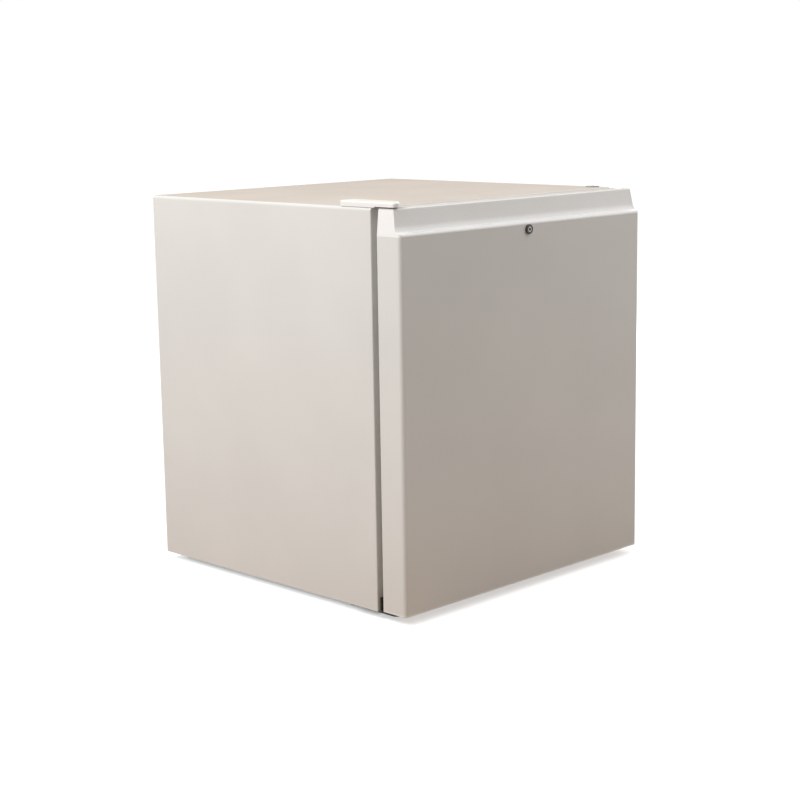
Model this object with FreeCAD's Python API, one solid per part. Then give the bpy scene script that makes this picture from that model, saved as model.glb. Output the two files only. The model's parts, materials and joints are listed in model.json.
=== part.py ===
import FreeCAD, Part
import math
import os

# A compact upright freezer with a lockable door, hung on the left. Sizes are millimetres.
# X runs to the right, Y from the door to the back and Z up.
# The origin is on the floor, under the middle of the freezer.

# Cabinet, outside
WIDTH = 450.0
CABINET_DEPTH = 414.0
CABINET_HEIGHT = 488.0
GROUND_CLEARANCE = 10.0
SHEET = 0.8
FOLD_RADIUS = 4.0
FRONT_FOLD_RADIUS = 1.6
SIDE_RETURN = 22.0
TOP_RETURN = 28.0
FRONT_RAIL = 38.0
REAR_RETURN = 11.0
PANEL_RECESS = 15.0
PANEL_SCREW_COUNT = 4

# Cabinet, inside
LINER = 2.0
SIDE_WALL = 60.0
TOP_WALL = 56.0
FLOOR_WALL = 58.0
BACK_WALL = 60.0
STEP_WALL = 48.0
LINER_CORNER = 20.0
LINER_SIDE_CORNER = 15.0
MACHINE_DEPTH = 140.0
MACHINE_HEIGHT = 165.0
RIB_WIDTH = 8.0
RIB_HEIGHT = 6.0
RIB_ABOVE_STEP = 4.0
RIB_END_GAP = 30.0

# Shelf
SHELF_FRAME_RADIUS = 2.5
SHELF_WIRE_RADIUS = 1.5
SHELF_SIDE_GAP = 1.5
SHELF_FRONT_GAP = 50.0
SHELF_BACK_GAP = 8.0
SHELF_CORNER = 18.0
SHELF_WIRE_PITCH = 18.0
SHELF_BAR_COUNT = 2
SHELF_REST_GAP = 0.3
WELD_SINK = 0.6

# Door
DOOR_THICKNESS = 38.0
GASKET_GAP = 10.0
DOOR_BELOW_TOP = 0.3
DOOR_BOTTOM_GAP = 1.5
DOOR_EDGE_RADIUS = 5.0
DOOR_RETURN = 8.0
DOOR_LINER_MARGIN = 8.0
BOTTOM_CAP_FLANGE = 2.5
BOTTOM_CAP_DEPTH = 10.0
BOTTOM_CAP_EDGE_RADIUS = 1.2
CAP_WALL = 2.5
CAP_END_TAPER = 3.4
CAP_TOP_EDGE_RADIUS = 2.2
GRIP_HEIGHT = 28.0
GRIP_DEPTH_TOP = 13.6
GRIP_DEPTH_KNEE = 9.6
GRIP_DEPTH_FOOT = 7.3
GRIP_KNEE_HEIGHT = 5.0
GRIP_KNEE_RADIUS = 22.0
GRIP_COVE_RADIUS = 2.5
LIP_RADIUS = 4.2
LIP_HEIGHT = 4.4
PLUG_REACH = 16.0
PLUG_TOP_GAP = 12.0
PLUG_GAP = 9.0
PLUG_CORNER = 16.0
PLUG_EDGE_RADIUS = 6.0

# Gasket
GASKET_SIDE_INSET = 5.0
GASKET_TOP_INSET = 11.0
GASKET_BOTTOM_INSET = 18.0
GASKET_WIDTH = 16.0
GASKET_BASE = 3.0
GASKET_FOLD = 4.0
GASKET_CORNER = 6.0
GASKET_CLEARANCE = 0.4
GASKET_NECK_INSET = 2.0
GASKET_FACE_INSET = 7.0
MAGNET_WIDTH = 5.0
MAGNET_THICKNESS = 2.6
MAGNET_COVER = 1.5
MAGNET_END_GAP = 10.0

# Hinges
PIN_INSET = 11.5
PIN_SETBACK = 10.7
PIN_RADIUS = 4.0
PIN_ENGAGEMENT = 13.0
RUNNING_CLEARANCE = 0.05
HINGE_PLATE = 2.5
HINGE_PLATE_WIDTH = 14.0
HINGE_LIFT = 1.0
HINGE_STEP = 4.0
TOP_HINGE_REACH = 46.0
BOTTOM_HINGE_REACH = 42.0
BOTTOM_HINGE_WIDTH = 50.0
BOTTOM_HINGE_UPSTAND = 17.0
BUSH_RADIUS = 5.5
BUSH_LENGTH = 16.0
BUSH_PLUG_HEAD = 0.8
BUSH_PLUG_RIM = 0.4
ANCHOR_PLATE = 3.0
HINGE_SCREW_RADIUS = 2.5
HINGE_SCREW_HEAD_RADIUS = 4.5
HINGE_SCREW_HEAD = 2.0
HINGE_SCREW_LENGTH = 14.0
TOP_SCREW_FIRST = 13.0
TOP_SCREW_PITCH = 22.0
BOTTOM_SCREW_EDGE = 9.0
COVER_SIDE_INSET = 1.0
COVER_WIDTH = 25.0
COVER_HEIGHT = 7.0
COVER_REACH = 54.0
COVER_OVERHANG = 3.3
COVER_NOSE_WIDTH = 8.6
COVER_NOSE_ROUND = 8.0
COVER_CORNER = 4.0
COVER_WALL = 1.8
COVER_EDGE_RADIUS = 2.5
COVER_LIFT = 1.2
COVER_STEP = 5.0
HOLE_PLUG_RADIUS = 9.0
HOLE_PLUG_SETBACK = 22.0
HOLE_PLUG_HEAD = 1.2
HOLE_PLUG_STEM = 5.0
HOLE_PLUG_LIP = 3.5

# Lock
LOCK_PROUD = 3.0
LOCK_BELOW_LIP = 10.2
BEZEL_RADIUS = 6.0
BEZEL_CHAMFER = 0.8
HOUSING_RADIUS = 5.5
BARREL_RADIUS = 3.6
BARREL_RECESS = 0.5
KEY_SLOT_WIDTH = 3.0
KEY_SLOT_LENGTH = 3.4
KEY_SLOT_DEPTH = 10.0
LOCK_NUT = 3.0
LOCK_NUT_FLATS = 14.0
CAM_THICKNESS = 2.0
CAM_WIDTH = 10.0
CAM_LENGTH = 22.0
CAM_OFFSET = 4.2
CAM_SCREW_RADIUS = 1.8
CAM_SCREW_HEAD_RADIUS = 3.5
CAM_SCREW_HEAD = 1.8
CAM_SCREW_LENGTH = 7.0
KEEPER_SHEET = 1.4
KEEPER_CAM_GAP = 1.0
KEEPER_SIDE_GAP = 3.0
KEEPER_GRIP = 13.0
KEEPER_FOOT = 17.0
KEEPER_SCREW_RADIUS = 1.6
KEEPER_SCREW_HEAD_RADIUS = 3.0
KEEPER_SCREW_HEAD = 1.4
KEEPER_SCREW_LENGTH = 10.0

# Feet
FOOT_RADIUS = 15.0
FOOT_PAD = 6.0
FOOT_PAD_CHAMFER = 1.5
FOOT_STOP_GAP = 0.3
FOOT_COLLAR_FLATS = 16.0
FOOT_STUD_RADIUS = 4.0
FOOT_STUD_LENGTH = 20.0
FOOT_NUT_RADIUS = 9.0
FOOT_NUT_LENGTH = 24.0
FOOT_HOLE_CLEARANCE = 0.6
FOOT_SIDE_INSET = 34.0
FRONT_FOOT_INSET = 66.0
REAR_FOOT_INSET = 52.0
REAR_FOOT_RADIUS = 13.0

# Compressor and its tray
TRAY = 1.5
TRAY_UPSTAND = 14.0
COMPRESSOR_RADIUS = 58.0
COMPRESSOR_HEIGHT = 136.0
COMPRESSOR_X = 40.0
COMPRESSOR_REAR_GAP = 12.0
COMPRESSOR_BOTTOM_ROUND = 22.0
COMPRESSOR_TOP_ROUND = 34.0
WELD_FLANGE = 4.0
WELD_FLANGE_HEIGHT = 74.0
FOOT_PLATE = 3.0
FOOT_PLATE_LENGTH = 164.0
FOOT_PLATE_DEPTH = 104.0
FOOT_PLATE_CORNER = 14.0
GROMMET_EDGE = 15.0
GROMMET_HEIGHT = 13.0
GROMMET_RADIUS = 11.0
GROMMET_NECK = 8.0
GROMMET_TOP = 3.0
MOUNT_BOLT_RADIUS = 3.0
MOUNT_NUT_FLATS = 10.0
MOUNT_NUT = 5.0
MOUNT_STUD_END = 2.5
TERMINAL_DEPTH = 22.0
TERMINAL_WIDTH = 44.0
TERMINAL_HEIGHT = 46.0
TERMINAL_BELOW_FLANGE = 6.0
TERMINAL_EDGE_RADIUS = 4.0

# Condenser on the back
CONDENSER_PROUD = 8.0
CONDENSER_TUBE_RADIUS = 2.5
CONDENSER_WIRE_RADIUS = 0.8
CONDENSER_RUNS = 8
CONDENSER_PITCH = 34.0
CONDENSER_ABOVE_MACHINE = 30.0
CONDENSER_WIRE_PITCH = 15.0
CONDENSER_WIRE_MARGIN = 24.0
CONDENSER_WIRE_OVERHANG = 7.0
WIRE_GAP = 0.05
BRACKET_WIDTH = 12.0
BRACKET_HEIGHT = 12.0
BRACKET_TAB = 13.0
BRACKET_TAB_THICKNESS = 2.0
BRACKET_LIP = 1.5
SMALL_SCREW_RADIUS = 1.6
SMALL_SCREW_HEAD_RADIUS = 3.4
SMALL_SCREW_HEAD = 1.6
SMALL_SCREW_LENGTH = 8.0

# Refrigerant lines
PIPE_RADIUS = 3.0
PIPE_BEND = 14.0
CAPILLARY_RADIUS = 1.1
CAPILLARY_BEND = 5.0
DRIER_RADIUS = 8.5
DRIER_LENGTH = 80.0
DRIER_NECK = 8.0
DRIER_INLET_RADIUS = 3.5
DRIER_OUTLET_RADIUS = 2.2
DRIER_X = -110.0
DRIER_FRONT_GAP = 28.0
DRIER_ABOVE_TRAY = 46.0
CAPILLARY_LOOP = 34.0
CAPILLARY_DIP = 15.0
CAPILLARY_ABOVE_ROOF = 12.0
CAPILLARY_ASIDE = 10.0
CAPILLARY_BELOW_EVAPORATOR = 20.0
DISCHARGE_PORT_Y = 28.0
PORT_HEIGHT = 84.0
SUCTION_HEIGHT = 104.0
SUCTION_ABOVE_ROOF = 24.0
SUCTION_PORT_Y = -6.0
PROCESS_PORT_Y = -32.0
PROCESS_REACH = 20.0
PROCESS_RISE = 34.0
PROCESS_BEND = 7.0
CRIMP_LENGTH = 9.0
CRIMP_THICKNESS = 2.4
RISER_INSET = 12.0
RISER_GAP = 15.0

# Evaporator round the liner
EVAPORATOR_PLATE = 1.2
EVAPORATOR_FRONT_GAP = 80.0
EVAPORATOR_BACK_GAP = 34.0
EVAPORATOR_ABOVE_STEP = 26.0
EVAPORATOR_TUBE_RADIUS = 3.5
EVAPORATOR_PASSES = 4
EVAPORATOR_TURN = 11.0
EVAPORATOR_FRONT_MARGIN = 18.0
EVAPORATOR_REAR_MARGIN = 9.0
EVAPORATOR_GAP = 0.2

# Thermostat and cord entry
BRACKET_SHEET = 1.2
CONTROL_INSET = 24.0
CONTROL_WIDTH = 84.0
CONTROL_HEIGHT = 148.0
CONTROL_FOOT = 12.0
THERMOSTAT_X_INSET = 40.0
THERMOSTAT_ABOVE_TRAY = 108.0
THERMOSTAT_WIDTH = 42.0
THERMOSTAT_DEPTH = 26.0
THERMOSTAT_HEIGHT = 34.0
DIAL_RADIUS = 19.0
DIAL_THICKNESS = 4.0
DIAL_GRIP_RADIUS = 11.0
DIAL_GRIP_LENGTH = 10.0
DIAL_POINTER_WIDTH = 5.0
DIAL_GAP = 0.5
SPINDLE_RADIUS = 3.0
SPINDLE_LENGTH = 14.0
SPINDLE_HOLE = 5.0
PROBE_RADIUS = 1.2
PROBE_REACH = 16.0
PROBE_LENGTH = 60.0
PROBE_ABOVE_ROOF = 24.0
GLAND_ABOVE_TRAY = 40.0
GLAND_BORE = 4.0
GLAND_RADIUS = 7.5
GLAND_FLANGE_RADIUS = 11.0
GLAND_FLANGE = 3.0
GLAND_LENGTH = 12.0

# Planes and centres worked out from the sizes above
OVERALL_DEPTH = LOCK_PROUD + DOOR_THICKNESS + GASKET_GAP + CABINET_DEPTH + CONDENSER_PROUD
DOOR_FACE = -OVERALL_DEPTH / 2 + LOCK_PROUD
DOOR_BACK = DOOR_FACE + DOOR_THICKNESS
CABINET_FRONT = DOOR_BACK + GASKET_GAP
CABINET_REAR = CABINET_FRONT + CABINET_DEPTH
PANEL_BACK = CABINET_REAR - PANEL_RECESS
PANEL_FRONT = PANEL_BACK - SHEET
HALF_WIDTH = WIDTH / 2
BOTTOM = GROUND_CLEARANCE
TOP = BOTTOM + CABINET_HEIGHT

MACHINE_FRONT = CABINET_REAR - MACHINE_DEPTH
MACHINE_TOP = BOTTOM + MACHINE_HEIGHT
TRAY_TOP = BOTTOM + TRAY

CAVITY_HALF = HALF_WIDTH - SIDE_WALL
CAVITY_TOP = TOP - TOP_WALL
CAVITY_FLOOR = BOTTOM + FLOOR_WALL
CAVITY_BACK = PANEL_FRONT - BACK_WALL
STEP_FRONT = MACHINE_FRONT - STEP_WALL
STEP_TOP = MACHINE_TOP + STEP_WALL
RIB_TOP = STEP_TOP + LINER_SIDE_CORNER + RIB_ABOVE_STEP + RIB_HEIGHT

DOOR_TOP = TOP - DOOR_BELOW_TOP
DOOR_BOTTOM = BOTTOM + DOOR_BOTTOM_GAP
LIP = DOOR_TOP - GRIP_HEIGHT
SEAM = LIP - LIP_HEIGHT
CAP_CEILING = DOOR_TOP - CAP_WALL
PANEL_FOOT = DOOR_BOTTOM + BOTTOM_CAP_FLANGE
DOOR_LINER_FRONT = DOOR_BACK - LINER
PLUG_BACK = CABINET_FRONT + PLUG_REACH
PLUG_HALF = CAVITY_HALF - PLUG_GAP
PLUG_FLOOR = CAVITY_FLOOR + PLUG_GAP
PLUG_TOP = CAVITY_TOP - PLUG_TOP_GAP

PIN_X = -HALF_WIDTH + PIN_INSET
PIN_Y = DOOR_BACK - PIN_SETBACK
BORE_RADIUS = PIN_RADIUS + RUNNING_CLEARANCE
HINGE_TOP = TOP + HINGE_LIFT + HINGE_PLATE
LOCK_Z = LIP - LOCK_BELOW_LIP
CAM_FRONT = DOOR_BACK + CAM_OFFSET
CAM_BACK = CAM_FRONT + CAM_THICKNESS

COMPRESSOR_Y = CABINET_REAR - COMPRESSOR_REAR_GAP - COMPRESSOR_RADIUS - WELD_FLANGE
FOOT_PLATE_BOTTOM = TRAY_TOP + GROMMET_HEIGHT
COMPRESSOR_BOTTOM = FOOT_PLATE_BOTTOM + FOOT_PLATE
FLANGE_BOTTOM = COMPRESSOR_BOTTOM + WELD_FLANGE_HEIGHT
DRIER_Y = MACHINE_FRONT + DRIER_FRONT_GAP
DRIER_BOTTOM = TRAY_TOP + DRIER_ABOVE_TRAY
DRIER_TOP = DRIER_BOTTOM + DRIER_LENGTH

CONDENSER_Y = CABINET_REAR + CONDENSER_PROUD - 2 * CONDENSER_WIRE_RADIUS - WIRE_GAP - CONDENSER_TUBE_RADIUS
CONDENSER_LOW = MACHINE_TOP + CONDENSER_ABOVE_MACHINE
CONDENSER_HIGH = CONDENSER_LOW + (CONDENSER_RUNS - 1) * CONDENSER_PITCH
RISER_X = -HALF_WIDTH + REAR_RETURN + RISER_INSET
CONDENSER_HALF_RUN = -RISER_X - RISER_GAP - CONDENSER_PITCH / 2

EVAPORATOR_SKIN = LINER + EVAPORATOR_PLATE
EVAPORATOR_OFFSET = EVAPORATOR_SKIN + EVAPORATOR_GAP + EVAPORATOR_TUBE_RADIUS
EVAPORATOR_X = CAVITY_HALF + EVAPORATOR_OFFSET
EVAPORATOR_BEND = LINER_SIDE_CORNER + EVAPORATOR_OFFSET
EVAPORATOR_HIGH = CAVITY_TOP + EVAPORATOR_OFFSET
EVAPORATOR_LOW = STEP_TOP + EVAPORATOR_ABOVE_STEP
EVAPORATOR_FIRST = CABINET_FRONT + EVAPORATOR_FRONT_GAP
EVAPORATOR_LAST = CAVITY_BACK - EVAPORATOR_BACK_GAP

CONTROL_BACK = CABINET_REAR - CONTROL_INSET
CONTROL_FRONT = CONTROL_BACK - BRACKET_SHEET
CONTROL_X = HALF_WIDTH - SHEET - THERMOSTAT_X_INSET
THERMOSTAT_Z = TRAY_TOP + THERMOSTAT_ABOVE_TRAY
THERMOSTAT_FRONT = CONTROL_FRONT - THERMOSTAT_DEPTH
GLAND_Z = TRAY_TOP + GLAND_ABOVE_TRAY


def at(x, y, z):
    return FreeCAD.Vector(x, y, z)


def box(x0, x1, y0, y1, z0, z1):
    return Part.makeBox(x1 - x0, y1 - y0, z1 - z0, at(x0, y0, z0))


def rod(start, end, radius):
    """A round bar from one point to another."""
    axis = end - start
    return Part.makeCylinder(radius, axis.Length, start, axis)


def hexagon(centre, flats, direction, spin):
    """A six-sided prism; the direction holds its length, and spin is the way to its first corner."""
    radius = flats / math.sqrt(3)
    aside = spin.cross(direction).normalize()
    corners = []
    for step in range(7):
        angle = math.radians(60 * step)
        corners.append(centre + spin * (radius * math.cos(angle)) + aside * (radius * math.sin(angle)))
    return Part.Face(Part.makePolygon(corners)).extrude(direction)


def rounded_edges(corners, closed):
    """Straight runs joined by tangent arcs through (point, bend radius) corners."""
    arcs = []
    arrivals = []
    departures = []
    last = len(corners) - 1
    for index, (point, radius) in enumerate(corners):
        is_end = not closed and index in (0, last)
        if radius == 0 or is_end:
            arrivals.append(point)
            departures.append(point)
            arcs.append(None)
            continue
        back = (corners[index - 1][0] - point).normalize()
        ahead = (corners[(index + 1) % len(corners)][0] - point).normalize()
        half_angle = back.getAngle(ahead) / 2
        reach = radius / math.tan(half_angle)
        middle = point + (back + ahead).normalize() * (radius / math.sin(half_angle) - radius)
        arrivals.append(point + back * reach)
        departures.append(point + ahead * reach)
        arcs.append(Part.Arc(arrivals[-1], middle, departures[-1]).toShape())
    edges = []
    for index in range(len(corners)):
        if arcs[index]:
            edges.append(arcs[index])
        if closed or index < last:
            start = departures[index]
            end = arrivals[(index + 1) % len(corners)]
            if start.distanceToPoint(end) > 1e-4:
                edges.append(Part.LineSegment(start, end).toShape())
    return edges


def prism(corners, direction):
    """A solid from a flat outline of (point, corner radius), pushed along a direction."""
    wire = Part.Wire(rounded_edges(corners, True))
    return Part.Face(wire).extrude(direction)


def upright(x0, x1, y0, y1, z0, z1, front_radius, back_radius):
    """A block standing on XY with rounded upright edges."""
    corners = [(at(x0, y0, z0), front_radius), (at(x1, y0, z0), front_radius),
               (at(x1, y1, z0), back_radius), (at(x0, y1, z0), back_radius)]
    return prism(corners, at(0, 0, z1 - z0))


def slab(x0, x1, y0, y1, z0, z1, radius):
    """A block lying along Y with the four edges along Y rounded."""
    corners = [(at(x0, y0, z0), radius), (at(x1, y0, z0), radius),
               (at(x1, y0, z1), radius), (at(x0, y0, z1), radius)]
    return prism(corners, at(0, y1 - y0, 0))


def tube(corners, radius):
    """A round bar swept along straight runs and tangent arcs."""
    edges = rounded_edges(corners, False)
    path = Part.Wire(edges)
    start = edges[0].Vertexes[0].Point
    heading = corners[1][0] - corners[0][0]
    section = Part.Wire(Part.makeCircle(radius, start, heading))
    return path.makePipeShell([section], True, False)


def edges_where(shape, test):
    """The edges whose every end passes a test."""
    return [edge for edge in shape.Edges if all(test(vertex.Point) for vertex in edge.Vertexes)]


def near(a, b):
    return abs(a - b) < 1e-3


def mirrored(shape):
    """The same piece on the other side of the middle."""
    return shape.mirror(at(0, 0, 0), at(1, 0, 0))


def pan_screw(seat, direction, shank_radius, head_radius, head, length):
    """A screw whose head sits on the seat; the direction points out of the head."""
    shank = rod(seat - direction * length, seat, shank_radius)
    return shank.fuse(rod(seat, seat + direction * head, head_radius))


# Cabinet shell and panels

def cabinet_block(inset, front, rear, foot):
    """The cabinet's outline, some way inside its outer faces, with folded top edges."""
    half = HALF_WIDTH - inset
    fold = max(FOLD_RADIUS - inset, 0)
    corners = [(at(-half, front, foot), 0), (at(-half, front, TOP - inset), fold),
               (at(half, front, TOP - inset), fold), (at(half, front, foot), 0)]
    return prism(corners, at(0, rear - front, 0))


def cabinet_shell():
    outer = cabinet_block(0, CABINET_FRONT, CABINET_REAR, BOTTOM)
    front_edges = edges_where(outer, lambda p: near(p.y, CABINET_FRONT))
    folded = [edge for edge in front_edges if not near(edge.BoundBox.ZMax, BOTTOM)]
    outer = outer.makeFillet(FRONT_FOLD_RADIUS, folded)
    inner = cabinet_block(SHEET, CABINET_FRONT + SHEET, CABINET_REAR - SHEET, BOTTOM)
    mouth = box(-HALF_WIDTH + SIDE_RETURN, HALF_WIDTH - SIDE_RETURN, CABINET_FRONT, CABINET_FRONT + SHEET,
                BOTTOM, TOP - TOP_RETURN)
    rear = box(-HALF_WIDTH + REAR_RETURN, HALF_WIDTH - REAR_RETURN, CABINET_REAR - SHEET, CABINET_REAR,
               BOTTOM, TOP - REAR_RETURN)
    return outer.cut([inner, mouth, rear])


def recess_block(grow):
    """The shallow recess in the back that holds the condenser, grown outwards by the sheet."""
    half = HALF_WIDTH - REAR_RETURN - SHEET + grow
    return box(-half, half, PANEL_BACK - grow, CABINET_REAR - SHEET, MACHINE_TOP,
               TOP - REAR_RETURN - SHEET + grow)


def panel_flange():
    return cabinet_block(SHEET, CABINET_REAR - 2 * SHEET, CABINET_REAR - SHEET, MACHINE_TOP)


def back_panel():
    tray = recess_block(SHEET).fuse(panel_flange())
    return tray.cut(recess_block(0))


def back_panel_screws():
    screws = []
    edge = REAR_RETURN / 2
    rise = (TOP - MACHINE_TOP) / PANEL_SCREW_COUNT
    across = WIDTH / PANEL_SCREW_COUNT
    out = at(0, 1, 0)
    for step in range(PANEL_SCREW_COUNT):
        z = MACHINE_TOP + rise * (step + 0.5)
        x = -HALF_WIDTH + across * (step + 0.5)
        for seat in (at(-HALF_WIDTH + edge, CABINET_REAR, z), at(HALF_WIDTH - edge, CABINET_REAR, z),
                     at(x, CABINET_REAR, TOP - edge)):
            screws.append(pan_screw(seat, out, SMALL_SCREW_RADIUS, SMALL_SCREW_HEAD_RADIUS,
                                    SMALL_SCREW_HEAD, SMALL_SCREW_LENGTH))
    return screws


def base_pan():
    half = HALF_WIDTH - SHEET
    floor = box(-half, half, CABINET_FRONT + SHEET, MACHINE_FRONT, BOTTOM, BOTTOM + SHEET)
    rail_half = HALF_WIDTH - SIDE_RETURN
    rail = box(-rail_half, rail_half, CABINET_FRONT, CABINET_FRONT + SHEET, BOTTOM, BOTTOM + FRONT_RAIL)
    return floor.fuse(rail)


def machine_block(grow):
    """The machine compartment, grown outwards into the insulation by its plate."""
    half = HALF_WIDTH - SHEET
    return box(-half, half, MACHINE_FRONT - grow, CABINET_REAR, BOTTOM + SHEET, MACHINE_TOP + grow)


def machine_compartment_plate():
    half = HALF_WIDTH - SHEET
    wall = box(-half, half, MACHINE_FRONT - SHEET, MACHINE_FRONT, BOTTOM + SHEET, MACHINE_TOP)
    roof = box(-half, half, MACHINE_FRONT - SHEET, PANEL_FRONT, MACHINE_TOP, MACHINE_TOP + SHEET)
    return wall.fuse(roof)


def compressor_tray():
    half = HALF_WIDTH - SHEET
    floor = box(-half, half, MACHINE_FRONT, CABINET_REAR - SHEET, BOTTOM, TRAY_TOP)
    upstand = box(-half, half, CABINET_REAR - SHEET - TRAY, CABINET_REAR - SHEET, TRAY_TOP,
                  TRAY_TOP + TRAY_UPSTAND)
    return floor.fuse(upstand)


# Freezer compartment

def cavity(grow):
    """The freezer compartment with its step over the machine compartment, grown outwards."""
    round_out = LINER_CORNER + grow
    round_in = LINER_CORNER - grow
    left = -CAVITY_HALF - grow
    corners = [(at(left, CABINET_FRONT, CAVITY_FLOOR - grow), 0),
               (at(left, STEP_FRONT + grow, CAVITY_FLOOR - grow), round_out),
               (at(left, STEP_FRONT + grow, STEP_TOP - grow), round_in),
               (at(left, CAVITY_BACK + grow, STEP_TOP - grow), round_out),
               (at(left, CAVITY_BACK + grow, CAVITY_TOP + grow), round_out),
               (at(left, CABINET_FRONT, CAVITY_TOP + grow), 0)]
    block = prism(corners, at(-2 * left, 0, 0))
    side_edges = []
    for side in (left, -left):
        for edge in edges_where(block, lambda p: near(p.x, side)):
            if not near(edge.BoundBox.YMax, CABINET_FRONT):
                side_edges.append(edge)
    return block.makeFillet(LINER_SIDE_CORNER + grow, side_edges)


def liner_flange():
    half = HALF_WIDTH - SIDE_RETURN
    return box(-half, half, CABINET_FRONT, CABINET_FRONT + LINER, BOTTOM + FRONT_RAIL, TOP - TOP_RETURN)


def freezer_liner():
    shell = cavity(LINER).fuse(liner_flange()).cut(cavity(0))
    rib = box(CAVITY_HALF - RIB_WIDTH, CAVITY_HALF + LINER / 2, CABINET_FRONT + RIB_END_GAP,
              CAVITY_BACK - RIB_END_GAP, RIB_TOP - RIB_HEIGHT, RIB_TOP)
    return shell.fuse([rib, mirrored(rib)])


def cabinet_foam(embedded):
    """Insulation that fills the cabinet between its skins, round everything that it holds."""
    fill = cabinet_block(SHEET, CABINET_FRONT + SHEET, CABINET_REAR - 2 * SHEET, BOTTOM + SHEET)
    return fill.cut([cavity(LINER), liner_flange(), machine_block(SHEET), recess_block(SHEET)] + embedded)


def wire_shelf():
    half = CAVITY_HALF - SHELF_SIDE_GAP - SHELF_FRAME_RADIUS
    front = CABINET_FRONT + SHELF_FRONT_GAP + SHELF_FRAME_RADIUS
    back = CAVITY_BACK - SHELF_BACK_GAP - SHELF_FRAME_RADIUS
    z = RIB_TOP + SHELF_REST_GAP + SHELF_FRAME_RADIUS
    middle = at(0, front, z)
    corners = [(middle, 0), (at(half, front, z), SHELF_CORNER), (at(half, back, z), SHELF_CORNER),
               (at(-half, back, z), SHELF_CORNER), (at(-half, front, z), SHELF_CORNER), (middle, 0)]
    frame = tube(corners, SHELF_FRAME_RADIUS)
    wire_z = z + SHELF_FRAME_RADIUS + SHELF_WIRE_RADIUS - WELD_SINK
    count = int((half - SHELF_CORNER) / SHELF_WIRE_PITCH)
    wires = []
    for step in range(-count, count + 1):
        x = step * SHELF_WIRE_PITCH
        wires.append(rod(at(x, front, wire_z), at(x, back, wire_z), SHELF_WIRE_RADIUS))
    span = (back - front) / (SHELF_BAR_COUNT + 1)
    for step in range(SHELF_BAR_COUNT):
        y = front + span * (step + 1)
        wires.append(rod(at(-half, y, z), at(half, y, z), SHELF_FRAME_RADIUS - WELD_SINK / 2))
    return frame.fuse(wires)


# Evaporator and refrigerant lines

def evaporator_plate():
    keep = box(-HALF_WIDTH, HALF_WIDTH, EVAPORATOR_FIRST - EVAPORATOR_FRONT_MARGIN,
               EVAPORATOR_LAST + EVAPORATOR_REAR_MARGIN, EVAPORATOR_LOW, TOP)
    return cavity(EVAPORATOR_SKIN).cut(cavity(LINER)).common(keep)


def evaporator_tube():
    pitch = (EVAPORATOR_LAST - EVAPORATOR_FIRST) / (EVAPORATOR_PASSES - 1)
    corners = []
    for step in range(EVAPORATOR_PASSES):
        y = EVAPORATOR_FIRST + pitch * step
        x = -EVAPORATOR_X if step % 2 == 0 else EVAPORATOR_X
        corners.append((at(x, y, EVAPORATOR_LOW), EVAPORATOR_TURN))
        corners.append((at(x, y, EVAPORATOR_HIGH), EVAPORATOR_BEND))
        corners.append((at(-x, y, EVAPORATOR_HIGH), EVAPORATOR_BEND))
        corners.append((at(-x, y, EVAPORATOR_LOW), EVAPORATOR_TURN))
    return tube(corners, EVAPORATOR_TUBE_RADIUS)


def suction_line(compressor):
    """From the evaporator's end through the machine compartment's roof to the compressor."""
    low = MACHINE_TOP + SUCTION_ABOVE_ROOF
    y = COMPRESSOR_Y + SUCTION_PORT_Y
    port_z = TRAY_TOP + SUCTION_HEIGHT
    corners = [(at(-EVAPORATOR_X, EVAPORATOR_LAST, EVAPORATOR_LOW), 0),
               (at(-EVAPORATOR_X, EVAPORATOR_LAST, low), PIPE_BEND),
               (at(-EVAPORATOR_X, y, low), PIPE_BEND),
               (at(-EVAPORATOR_X, y, port_z), PIPE_BEND),
               (at(COMPRESSOR_X, y, port_z), 0)]
    return tube(corners, PIPE_RADIUS).cut(compressor)


def discharge_line(compressor):
    """From the compressor round the back and up to the condenser's first run."""
    y = COMPRESSOR_Y + DISCHARGE_PORT_Y
    z = TRAY_TOP + PORT_HEIGHT
    corners = [(at(COMPRESSOR_X, y, z), 0), (at(RISER_X, y, z), PIPE_BEND),
               (at(RISER_X, CONDENSER_Y, z), PIPE_BEND),
               (at(RISER_X, CONDENSER_Y, CONDENSER_HIGH), PIPE_BEND),
               (at(-CONDENSER_HALF_RUN, CONDENSER_Y, CONDENSER_HIGH), 0)]
    return tube(corners, CONDENSER_TUBE_RADIUS).cut(compressor)


def process_tube(compressor):
    """The charging stub, pinched shut at its end."""
    x = COMPRESSOR_X - COMPRESSOR_RADIUS - PROCESS_REACH
    y = COMPRESSOR_Y + PROCESS_PORT_Y
    z = TRAY_TOP + PORT_HEIGHT
    top = z + PROCESS_RISE
    corners = [(at(COMPRESSOR_X, y, z), 0), (at(x, y, z), PROCESS_BEND), (at(x, y, top), 0)]
    stub = tube(corners, PIPE_RADIUS)
    crimp = box(x - PIPE_RADIUS, x + PIPE_RADIUS, y - CRIMP_THICKNESS / 2, y + CRIMP_THICKNESS / 2,
                top - PIPE_RADIUS, top + CRIMP_LENGTH)
    return stub.cut(compressor).fuse(crimp)


def filter_drier():
    low = DRIER_BOTTOM + DRIER_NECK
    high = DRIER_TOP - DRIER_NECK
    body = rod(at(DRIER_X, DRIER_Y, low), at(DRIER_X, DRIER_Y, high), DRIER_RADIUS)
    foot = Part.makeCone(DRIER_OUTLET_RADIUS, DRIER_RADIUS, DRIER_NECK, at(DRIER_X, DRIER_Y, DRIER_BOTTOM))
    head = Part.makeCone(DRIER_RADIUS, DRIER_INLET_RADIUS, DRIER_NECK, at(DRIER_X, DRIER_Y, high))
    return body.fuse([foot, head])


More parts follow.
